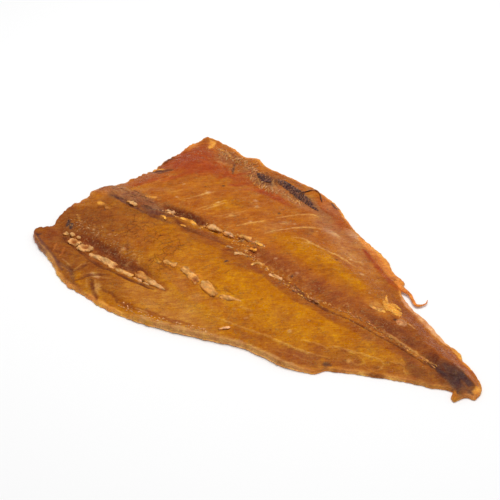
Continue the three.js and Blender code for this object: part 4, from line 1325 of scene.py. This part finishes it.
Chip = namedtuple("Chip", "name points half_width tone slot")
CHIPS = [
    Chip("chip_1", [(-93.5, -15.2), (-90.3, -14.8), (-85.5, -14.6)], 1.1, "bone", "bone"),
    Chip("chip_2", [(-74, -3.8), (-71.6, -3.1), (-68.6, -2.5)], 1.2, "pale", "bone"),
    Chip("chip_3", [(-71, -6.4), (-68.5, -6)], 0.8, "bone", "bone"),
    Chip("chip_4", [(-70.2, -12.3), (-67.2, -12.2), (-64, -13.6)], 0.8, "glow", "flesh"),
    Chip("chip_5", [(-60.9, -6.4), (-56.3, -4.7), (-50.6, -4.8)], 1.2, "glow", "flesh"),
    Chip("chip_6", [(-51, -2), (-48.6, -1.5), (-46.3, -1.2)], 0.7, "glow", "flesh"),
    Chip("chip_7", [(-47.2, -1.6), (-43, -0.4), (-39, 0.1), (-36.4, 0.3)], 1.7, "bone", "bone"),
    Chip("chip_8", [(-35.6, 0.3), (-32.6, 0.7), (-28.6, 0.8)], 1.2, "pale", "bone"),
    Chip("chip_9", [(-26.8, 2.1), (-23.7, 3.3), (-18.7, 3.4)], 1.2, "straw", "bone"),
    Chip("chip_10", [(-15.3, 3.4), (-10.5, 3.5)], 0.8, "glow", "flesh"),
    Chip("chip_11", [(-16.1, -0.2), (-11.6, -0.2)], 0.9, "glow", "flesh"),
    Chip("chip_12", [(-24.4, -9.1), (-20.3, -8.2)], 0.7, "pale", "bone"),
    Chip("chip_13", [(-16.4, -11.8), (-14.8, -8.6), (-9.9, -7.5)], 1.2, "bone", "bone"),
    Chip("chip_14", [(-3.6, -12.6), (-3, -8.8), (0.9, -7.9)], 1, "straw", "bone"),
    Chip("chip_15", [(7.6, -12.2), (10.4, -10.8), (15.9, -11.3)], 1.3, "pale", "bone"),
    Chip("chip_16", [(-55.8, -11.4), (-52.1, -10.6)], 0.7, "glow", "flesh"),
    Chip("chip_17", [(32.2, -11.9), (34.9, -10.7), (39.2, -10.6)], 0.8, "rosy", "flesh"),
    Chip("crumb_1", [(-100, -53.2), (-97, -53)], 1.3, "bone", "bone"),
    Chip("crumb_2", [(-96.4, -51.8), (-93, -52.2)], 1.4, "bone", "bone"),
    Chip("crumb_3", [(-92.2, -51.4), (-89.2, -51)], 0.9, "bone", "bone"),
    Chip("crumb_4", [(-39.6, -38.6), (-36.4, -37.7), (-31.5, -37.2)], 1.5, "straw", "bone"),
    Chip("crumb_5", [(-44.6, -54.4), (-41.6, -54.2), (-38.6, -54.3)], 0.9, "pale", "bone"),
    Chip("crumb_6", [(-38, -54), (-33.6, -54)], 0.6, "bone", "bone"),
    Chip("groove_stick", [(14.2, -54), (17.4, -49)], 0.8, "shell", "bone"),
    Chip("fat_strand", [(56.8, 19.4), (58.6, 16.6), (61.4, 14.4)], 0.5, "glow", "flesh"),
    Chip(
        "fat_curl", [(65.2, 13.2), (66, 15), (68.4, 14.4), (70.4, 11.4), (69.8, 9.6)],
        0.7, "glow", "flesh",
    ),
    Chip("fat_fold", [(60.6, 13.6), (63.4, 12.2), (66.4, 10.6), (68.6, 9.6)], 0.6, "glow", "flesh"),
    Chip(
        "dark_thread",
        [(-33, 58.5), (-32, 62.5), (-30.5, 67), (-26.5, 66), (-22.5, 62.5), (-19, 59.5)],
        0.38, "char", "flesh",
    ),
]
THREAD_HALF_WIDTH = 0.5  # what is thinner is a smooth round thread


def build_chip(chip, seed, material):
    plan = smooth_route(chip.points, 0.3)
    share = np.linspace(0, 1, len(plan))
    taper = np.sqrt(np.clip(1 - np.abs(2 * share - 1) ** 4, 0.04, 1))
    is_thread = chip.half_width < THREAD_HALF_WIDTH
    if not is_thread:
        taper = taper * (1 + 0.3 * cloud(plan[:, 0], plan[:, 1], 1.4, seed + 2, 2))
    half = chip.half_width * taper
    height = smoothed(surface_height(plan[:, 0], plan[:, 1]), min(11, 2 * (len(plan) // 2) - 1))
    route = np.column_stack([plan, height + 0.1 * chip.half_width])
    if is_thread:
        route = route + np.array((0, 0, chip.half_width))
        points, faces = rod_mesh(route, half, half, 8)
    else:
        points, faces = rod_mesh(route, half, 0.55 * half, 20, 0.8, 0.42, seed)
    colour = bone_colour(points, chip.tone, seed + 7)
    add_piece(chip.name, points, faces, colour, [material])


# The strip's places with their heights, and its half width at shares of its length.
STRIP_ROUTE = [
    (51.5, 33.6, 2.1), (57, 32, 1.9), (62, 31.3, 1.6), (65.6, 29.2, 1.35), (69, 27.4, 1.2),
    (71, 29.2, 1.1), (71.7, 31.8, 1.0), (70.6, 34.6, 0.9),
]
STRIP_HALF_WIDTH = [(0, 1.7), (0.25, 1.3), (0.5, 0.8), (0.7, 0.8), (0.85, 0.42), (1, 0.16)]


def build_strip(material):
    route = smooth_route(STRIP_ROUTE, 0.4)
    share = np.linspace(0, 1, len(route))
    half = curve_through(STRIP_HALF_WIDTH)(share)
    points, faces = rod_mesh(route, half, 0.6 * half, 16, 0.9, 0.15, 5)
    shade = 1 + 0.12 * cloud(points[:, 0], points[:, 1], 2.2, 131)
    colour = tone_of("flame") * shade[:, None]
    add_piece("torn_strip", points, faces, colour, [material])


# ---- Thin patches: membranes and bits of fat ----

RIB_HEIGHT = 0.25
UNDER_DEPTH = 0.5  # how far a patch reaches into the flesh

# rib is the spacing of the ribs across a membrane and 0 where there are none, turn their lean.
Patch = namedtuple("Patch", "name outline lift thickness tone second rib turn")
PATCHES = [
    Patch(
        "membrane_1",
        [(-51.5, 60), (-48, 62), (-40.5, 61), (-31.5, 59), (-26, 56.4), (-20, 53.6),
         (-14.6, 51.2), (-20, 50.8), (-27.5, 52), (-34, 53.6), (-42, 55), (-48.6, 57)],
        0.1, 0.3, "char", "ash", 1.7, 112,
    ),
    Patch(
        "membrane_2",
        [(-65.5, 56.4), (-61.5, 58.4), (-56.5, 57.6), (-52.4, 54.6), (-55.5, 51.8), (-61, 53.4)],
        0.1, 0.3, "char", "ash", 1.9, 106,
    ),
    Patch(
        "fat_1",
        [(56.6, 4), (59, 6.2), (62.4, 7.4), (66.6, 7.2), (65.4, 5.4), (61.5, 4.4)],
        0, 0.35, "straw", "glow", 1.5, 0,
    ),
    # The amber second tone on the ribs of this fat is painted shade among its yellow loops.
    Patch(
        "fat_2",
        [(59.4, 13.6), (61.6, 15), (63.1, 17), (65.3, 17.6), (67.8, 16.7), (70.8, 13.3),
         (72.2, 10), (70, 8.9), (67.6, 9.4), (65.6, 8.6), (62.7, 9.6), (60.2, 11.4)],
        0.05, 0.4, "glow", "amber", 1.7, 30,
    ),
    Patch(
        "fat_disc",
        [(75.9 + 3 * math.cos(a), 6.5 + 2.7 * math.sin(a)) for a in np.arange(0, 6.2, 0.7)],
        0.1, 0.4, "rosy", "pale", 2.4, 40,
    ),
]


def build_patch(patch, seed, material):
    outline = smooth_route(patch.outline + patch.outline[:1], 0.4)[:-1]
    turn = math.radians(patch.turn)
    outward = np.gradient(outline, axis=0)[:, ::-1] * (1, -1)
    outward /= np.linalg.norm(outward, axis=1)[:, None]
    fray = 0.32 * noise(outline[:, 0], outline[:, 1], 1.1, seed + 1)
    outline = outline + fray[:, None] * outward
    places, faces = filled(outline, 0.5, 0.25)
    dome = np.sqrt(np.clip(distances_to(tree_of(outline), places) / 1.4, 0, 1))
    across = places[:, 1] * math.cos(turn) - places[:, 0] * math.sin(turn)
    wave = across + 0.5 * cloud(places[:, 0], places[:, 1], 2.6, seed + 5, 2)
    ribs = np.sin(2 * math.pi * wave / patch.rib)
    height = surface_height(places[:, 0], places[:, 1])
    curl = 0.3 * cloud(places[:, 0], places[:, 1], 2.2, seed, 2) + RIB_HEIGHT * ribs * dome
    top = np.column_stack([places, height + patch.lift + curl + patch.thickness * dome])
    under = np.column_stack([places, height - UNDER_DEPTH])
    count, rim = len(places), len(outline)
    up = [tuple(f) for f in faces]
    down = [tuple(count + k for k in reversed(f)) for f in faces]
    side = [(n, count + n, count + (n + 1) % rim, (n + 1) % rim) for n in range(rim)]
    points = np.vstack([top, under])
    flecks = cloud(places[:, 0], places[:, 1], 0.9, seed + 7, 2)
    share = 0.75 * step(0.35, 1, ribs + 0.55 * flecks - 0.1)
    tint = tinted(tone_of(patch.tone), patch.second, share) * (1 + 0.18 * flecks)[:, None]
    tint = np.clip(np.vstack([tint, tint]), 0, 255)
    add_piece(patch.name, points, up + down + side, tint, [material])


# ---- Scattered hairs and flakes ----

# Each scatter is many small rods joined as one piece: spread is how far they stray from the
# route, turn the way they lie, jitter how much that varies, arch how far they stand clear.
Scatter = namedtuple("Scatter", "name route spread count length half_width turn jitter arch tones")
SCATTERS = [
    Scatter(
        "seam_flakes", [(30, -7.8), (42.8, -6.2), (54.2, -4.4), (64.4, -3.6), (90, -4.4), (105, -4.8)],
        0.8, 90, 1.6, 0.28, 0, 30, 0.1, ("straw", "rosy", "rosy", "straw"),
    ),
    Scatter(
        "seam_crumbs", [(-74, -7), (-58, -6), (-44, -3.5), (-28, -1), (-12, -4), (6, -9), (30, -11)],
        3.4, 120, 1.1, 0.3, 10, 60, 0.1, ("straw", "pale", "bone", "glow"),
    ),
    Scatter(
        "seam_grains", [(-49, -1.2), (-38.6, 0), (-30, 0.8), (-19, 3.2), (-10, 3.4)],
        1.5, 90, 1.5, 0.42, 15, 70, 0.1, ("bone", "straw", "pale", "rosy"),
    ),
    Scatter(
        "seam_litter", [(-24, -9), (-12, -8), (0, -8.4), (14, -11.4), (28, -12), (38, -10.6)],
        1.3, 55, 1.5, 0.36, 5, 60, 0.1, ("straw", "ash", "rosy", "rosy"),
    ),
    Scatter(
        "groove_beads", [(-100, -46), (-84, -43.5), (-68, -44), (-52, -43)],
        5, 55, 0.9, 0.2, 45, 90, 0.1, ("pale", "rosy", "straw"),
    ),
    Scatter(
        "shoulder_hairs", [(-98, 60), (-90, 59.5), (-81, 60.5), (-72, 59.5), (-64, 56)],
        4.5, 190, 2.8, 0.17, 105, 55, 0.4, ("pale", "rosy", "straw", "rosy"),
    ),
    Scatter(
        "membrane_hairs", [(-66, 52), (-53, 47.6), (-40, 49.5), (-24, 48.5)],
        2.8, 170, 2.8, 0.17, 125, 30, 0.3, ("pale", "rosy", "straw", "rosy"),
    ),
    Scatter(
        "membrane_threads", [(-62, 56), (-50, 58.5), (-36, 56.5), (-22, 52.5)],
        2.2, 90, 3.6, 0.12, 115, 26, 0.9, ("ash", "rosy", "plum", "ash"),
    ),
    Scatter(
        "silky_hairs", [(-110, -9), (-100, -9), (-90, -8), (-80, -7)],
        4, 50, 5, 0.1, 12, 14, 0.15, ("rosy", "ash", "plum", "rosy"),
    ),
    Scatter(
        "lower_flecks", [(-34, -73), (-24, -71.5), (-14, -68), (0, -62), (14, -57)],
        1.6, 60, 1.2, 0.26, 20, 60, 0.1, ("pale", "straw", "shell"),
    ),
    Scatter(
        "upper_flecks", [(-74, 14), (-50, 20), (-24, 28), (2, 26), (24, 22)],
        14, 110, 1, 0.14, 65, 30, 0.05, ("straw", "rosy"),
    ),
]
HAIR_STATIONS = 7
HAIR_SIDES = 6


def build_scatter(scatter, seed, material):
    random = np.random.default_rng(seed)
    route = smooth_route(scatter.route, 0.5)
    plans, lifts, halves, tones = [], [], [], []
    share = np.linspace(-1, 1, HAIR_STATIONS)
    for _ in range(scatter.count):
        middle = route[random.integers(len(route))] + scatter.spread * random.normal(0, 0.5, 2)
        turn = math.radians(scatter.turn + scatter.jitter * random.uniform(-1, 1))
        run = np.array([math.cos(turn), math.sin(turn)])
        length = scatter.length * random.uniform(0.5, 1.4)
        bow = 0.3 * length * random.uniform(-1, 1)
        plan = middle + 0.5 * length * share[:, None] * run
        plans.append(plan + bow * (1 - share**2)[:, None] * np.array([-run[1], run[0]]))
        lifts.append(scatter.arch * random.uniform(0.2, 1) * (1 - share**2))
        halves.append(scatter.half_width * random.uniform(0.7, 1.3) * np.sqrt(1.02 - share**2))
        tone = scatter.tones[random.integers(len(scatter.tones))]
        tones.append(tone_of(tone) * random.uniform(0.85, 1.15))
    places = np.vstack(plans)
    heights = surface_height(places[:, 0], places[:, 1]).reshape(len(plans), -1) + lifts
    points, faces, colours = [], [], []
    for plan, height, half, tone in zip(plans, heights, halves, tones):
        centre = np.column_stack([plan, height])
        rod, rod_faces = rod_mesh(centre, half, 0.6 * half, HAIR_SIDES, 0.9, 0.15, seed)
        base = len(rod) * len(points)
        points.append(rod)
        faces += [tuple(base + k for k in face) for face in rod_faces]
        colours.append(np.tile(tone, (len(rod), 1)))
    tint = np.clip(np.vstack(colours), 0, 255)
    add_piece(scatter.name, np.vstack(points), faces, tint, [material])


# ---- Materials ----


class Nodes:
    """Short ways to add and link the nodes of one material."""

    def __init__(self, material):
        material.use_nodes = True
        self.tree = material.node_tree
        self.shader = self.tree.nodes["Principled BSDF"]

    def add(self, kind, inputs=(), **settings):
        node = self.tree.nodes.new(kind)
        for key, value in settings.items():
            setattr(node, key, value)
        for key, value in dict(inputs).items():
            if isinstance(value, bpy.types.NodeSocket):
                self.tree.links.new(value, node.inputs[key])
            else:
                node.inputs[key].default_value = value
        return node

    def noise(self, scale, detail=2.0, stretch=1, turn=0):
        """Noise drawn out by stretch along a way that is turned from +X, in degrees."""
        place = self.add("ShaderNodeTexCoord").outputs["Object"]
        drawn = self.add(
            "ShaderNodeMapping",
            {"Vector": place, "Rotation": (0, 0, math.radians(turn)), "Scale": (stretch, 1, 1)},
            vector_type="TEXTURE",
        )
        made = self.add(
            "ShaderNodeTexNoise",
            {"Vector": drawn.outputs[0], "Scale": scale, "Detail": detail, "Roughness": 0.55},
        )
        return made.outputs["Fac"]

    def maths(self, operation, first, second):
        made = self.add("ShaderNodeMath", {0: first, 1: second}, operation=operation)
        return made.outputs[0]

    def between(self, value, low, high):
        """0 below low, 1 above high."""
        made = self.add("ShaderNodeMapRange", {"Value": value, "From Min": low, "From Max": high})
        return made.outputs["Result"]

    def mixed(self, first, second, share):
        made = self.add("ShaderNodeMix", data_type="RGBA")
        self.tree.links.new(share, made.inputs["Factor"])
        self.tree.links.new(first, made.inputs["A"])
        made.inputs["B"].default_value = (*second, 1)
        return made.outputs["Result"]

    def cracks(self, scale):
        """Thin lines round uneven cells."""
        place = self.add("ShaderNodeTexCoord").outputs["Object"]
        stray = self.add("ShaderNodeTexNoise", {"Vector": place, "Scale": 260, "Detail": 2})
        shift = self.add(
            "ShaderNodeVectorMath",
            {0: stray.outputs["Color"], 1: (0.004, 0.004, 0)},
            operation="MULTIPLY",
        )
        moved = self.add("ShaderNodeVectorMath", {0: place, 1: shift.outputs[0]}, operation="ADD")
        cells = self.add(
            "ShaderNodeTexVoronoi",
            {"Vector": moved.outputs[0], "Scale": scale},
            feature="DISTANCE_TO_EDGE",
            voronoi_dimensions="2D",
        )
        return self.between(cells.outputs["Distance"], 0.07, 0.0)

    def ranged(self, value, low, high):
        made = self.add(
            "ShaderNodeMapRange",
            {"Value": value, "From Min": 0.3, "From Max": 0.7, "To Min": low, "To Max": high},
        )
        return made.outputs["Result"]

    def multiplied(self, colour, factor):
        bands = {n: self.maths("POWER", factor, power) for n, power in enumerate(REDDER_WHEN_DARK)}
        grey = self.add("ShaderNodeCombineColor", bands).outputs[0]
        made = self.add("ShaderNodeMix", data_type="RGBA", blend_type="MULTIPLY")
        made.inputs["Factor"].default_value = 1
        self.tree.links.new(colour, made.inputs["A"])
        self.tree.links.new(grey, made.inputs["B"])
        return made.outputs["Result"]


def share_of(nodes, name):
    """One of the mesh's own named shares."""
    return nodes.add("ShaderNodeAttribute", attribute_name=name).outputs["Fac"]


def flesh_details(nodes, colour, height):
    """Colour and bump with pale wrinkles and beads, their paleness painted highlight, and dark creases,
    their darkness painted shade, added.

    Beads and creases are as thick as the mesh's own shares say.
    """
    sprinkled = nodes.between(nodes.noise(1050, 1.5), 0.6, 0.7)
    bead_highlight = nodes.maths("MULTIPLY", sprinkled, share_of(nodes, "beads"))
    crack_shade = nodes.maths("MULTIPLY", nodes.cracks(230), share_of(nodes, "creases"))
    line = nodes.maths("ABSOLUTE", nodes.maths("SUBTRACT", nodes.noise(420, 3, 3, 48), 0.5), 0)
    here = nodes.between(nodes.noise(140, 2), 0.45, 0.6)
    wrinkle_highlight = nodes.maths("MULTIPLY", nodes.between(line, 0.016, 0.002), here)
    # Pale wrinkles and beads are painted highlights; the dark cracks are painted shade in the creases.
    for share, detail_colour, strength, rise in (
        (wrinkle_highlight, WRINKLE_HIGHLIGHT_COLOUR, 0.32, 0.6),
        (bead_highlight, BEAD_HIGHLIGHT_COLOUR, 0.55, 0.8),
        (crack_shade, CREASE_SHADE_COLOUR, 0.35, -0.8),
    ):
        colour = nodes.mixed(colour, detail_colour, nodes.maths("MULTIPLY", share, strength))
        height = nodes.maths("ADD", height, nodes.maths("MULTIPLY", share, rise))
    return colour, height


def surface_material(name, roughness, specular, grain, bump, subsurface=0.0, fleshy=False):
    """A moist, tinted surface, with muscle fibres and other details where fleshy.

    roughness is that of its dry and its moist places, grain how much fine noise changes its
    brightness.
    """
    material = bpy.data.materials.new(name)
    nodes = Nodes(material)
    colour = nodes.add("ShaderNodeAttribute", attribute_name="tint").outputs["Color"]
    fine = nodes.ranged(nodes.noise(1300, 3), 1 - grain, 1 + grain)
    broad = nodes.ranged(nodes.noise(330, 2), 1 - grain / 2, 1 + grain / 2)
    factor = nodes.maths("MULTIPLY", fine, broad)
    height = nodes.noise(900, 3)
    if fleshy:
        fibres_fac = nodes.noise(1500, 3, 9, 48)
        factor = nodes.maths("MULTIPLY", factor, nodes.ranged(fibres_fac, 1 - grain, 1 + grain))
        height = nodes.maths("ADD", height, nodes.maths("MULTIPLY", fibres_fac, 0.6))
    colour = nodes.multiplied(colour, factor)
    if fleshy:
        colour, height = flesh_details(nodes, colour, height)
    inputs = nodes.shader.inputs
    dry, moist = roughness
    moistness = nodes.between(nodes.noise(520, 2), 0.45, 0.62)
    rough = nodes.maths("MULTIPLY_ADD", moistness, moist - dry)
    rough.node.inputs[2].default_value = dry
    bumped = nodes.add("ShaderNodeBump", {"Height": height, "Strength": bump, "Distance": 0.0004})
    nodes.tree.links.new(colour, inputs["Base Color"])
    nodes.tree.links.new(rough, inputs["Roughness"])
    nodes.tree.links.new(bumped.outputs[0], inputs["Normal"])
    inputs["Specular IOR Level"].default_value = specular
    inputs["Subsurface Weight"].default_value = subsurface
    inputs["Subsurface Radius"].default_value = (1.0, 0.4, 0.15)
    inputs["Subsurface Scale"].default_value = 0.0015
    return material


def skin_material():
    """Skin with small overlapping scales."""
    material = surface_material(
        "smoked_skin", roughness=(0.5, 0.28), specular=0.5, grain=0.1, bump=0.2
    )
    nodes = Nodes(material)
    place = nodes.add("ShaderNodeTexCoord").outputs["Object"]
    squeezed = nodes.add("ShaderNodeMapping", {"Vector": place, "Scale": (0.8, 1, 1)})
    cells = nodes.add(
        "ShaderNodeTexVoronoi", {"Vector": squeezed.outputs[0], "Scale": 420, "Randomness": 0.45}
    )
    bumped = nodes.add(
        "ShaderNodeBump", {"Height": cells.outputs["Distance"], "Strength": 0.5, "Distance": 0.0006}
    )
    nodes.tree.links.new(bumped.outputs[0], nodes.shader.inputs["Normal"])
    return material


# ---- Building the fish ----

flesh_material = surface_material(
    "smoked_flesh_surface",
    roughness=(0.5, 0.16), specular=0.24, grain=0.18, bump=0.8, subsurface=0.05, fleshy=True,
)
bone_material = surface_material(
    "smoked_bone_surface",
    roughness=(0.5, 0.25), specular=0.3, grain=0.15, bump=0.5, subsurface=0.05,
)
BONE_SEED, CHIP_SEED, PATCH_SEED, SCATTER_SEED = 200, 300, 500, 600
SEED_STEP = 10

build_flesh([flesh_material, skin_material()])
for number, bone in enumerate(BONES):
    build_bone(bone, BONE_SEED + SEED_STEP * number, bone_material)
for number, chip in enumerate(CHIPS):
    material = bone_material if chip.slot == "bone" else flesh_material
    build_chip(chip, CHIP_SEED + SEED_STEP * number, material)
build_strip(flesh_material)
for number, patch in enumerate(PATCHES):
    build_patch(patch, PATCH_SEED + SEED_STEP * number, flesh_material)
for number, scatter in enumerate(SCATTERS):
    build_scatter(scatter, SCATTER_SEED + number, bone_material)

# ---- Floor, light and camera ----

FLOOR_HALF = 3  # in metres
WORLD_STRENGTH = 0.535
SENSOR_WIDTH = 36


def add_floor():
    mesh = bpy.data.meshes.new("floor")
    corners = [(-1, -1), (1, -1), (1, 1), (-1, 1)]
    places = [(FLOOR_HALF * x, FLOOR_HALF * y, 0) for x, y in corners]
    mesh.from_pydata(places, [], [(0, 1, 2, 3)])
    material = bpy.data.materials.new("floor_white")
    material.use_nodes = True
    shader = material.node_tree.nodes["Principled BSDF"]
    shader.inputs["Base Color"].default_value = (0.9, 0.9, 0.9, 1)
    shader.inputs["Roughness"].default_value = 0.9
    shader.inputs["Specular IOR Level"].default_value = 0.1
    mesh.materials.append(material)
    floor = bpy.data.objects.new("floor", mesh)
    bpy.context.scene.collection.objects.link(floor)


def add_softbox(name, place, width, depth, power, mirrored):
    """A rectangular light that faces the fish; sizes in metres, power in watts."""
    light = bpy.data.lights.new(name, "AREA")
    light.shape = "RECTANGLE"
    light.size = width
    light.size_y = depth
    light.energy = power
    softbox = bpy.data.objects.new(name, light)
    softbox.location = place
    softbox.rotation_mode = "QUATERNION"
    softbox.rotation_quaternion = (-Vector(place)).to_track_quat("-Z", "Y")
    softbox.visible_glossy = mirrored
    bpy.context.scene.collection.objects.link(softbox)


def add_world(strength):
    world = bpy.data.worlds.new("studio")
    world.use_nodes = True
    background = world.node_tree.nodes["Background"]
    background.inputs["Color"].default_value = (1, 1, 1, 1)
    background.inputs["Strength"].default_value = strength
    world.cycles_visibility.glossy = False
    bpy.context.scene.world = world


def add_camera():
    camera = bpy.data.cameras.new("camera")
    camera.sensor_width = SENSOR_WIDTH
    camera.lens = SENSOR_WIDTH / 2 / math.tan(math.radians(CAMERA_FOV / 2))
    holder = bpy.data.objects.new("camera", camera)
    place, target = Vector(to_metres(CAMERA_PLACE)), Vector(to_metres(CAMERA_TARGET))
    holder.location = place
    holder.rotation_mode = "QUATERNION"
    holder.rotation_quaternion = (target - place).to_track_quat("-Z", "Y")
    bpy.context.scene.collection.objects.link(holder)
    bpy.context.scene.camera = holder


add_floor()
add_world(WORLD_STRENGTH)
add_softbox("softbox_above", (-0.1, 0.22, 0.86), width=0.7, depth=0.5, power=5.1, mirrored=False)
add_softbox("softbox_key", (0.05, -0.12, 0.9), width=0.1, depth=0.1, power=0.7, mirrored=True)
add_camera()
bpy.context.scene.view_settings.view_transform = "Standard"
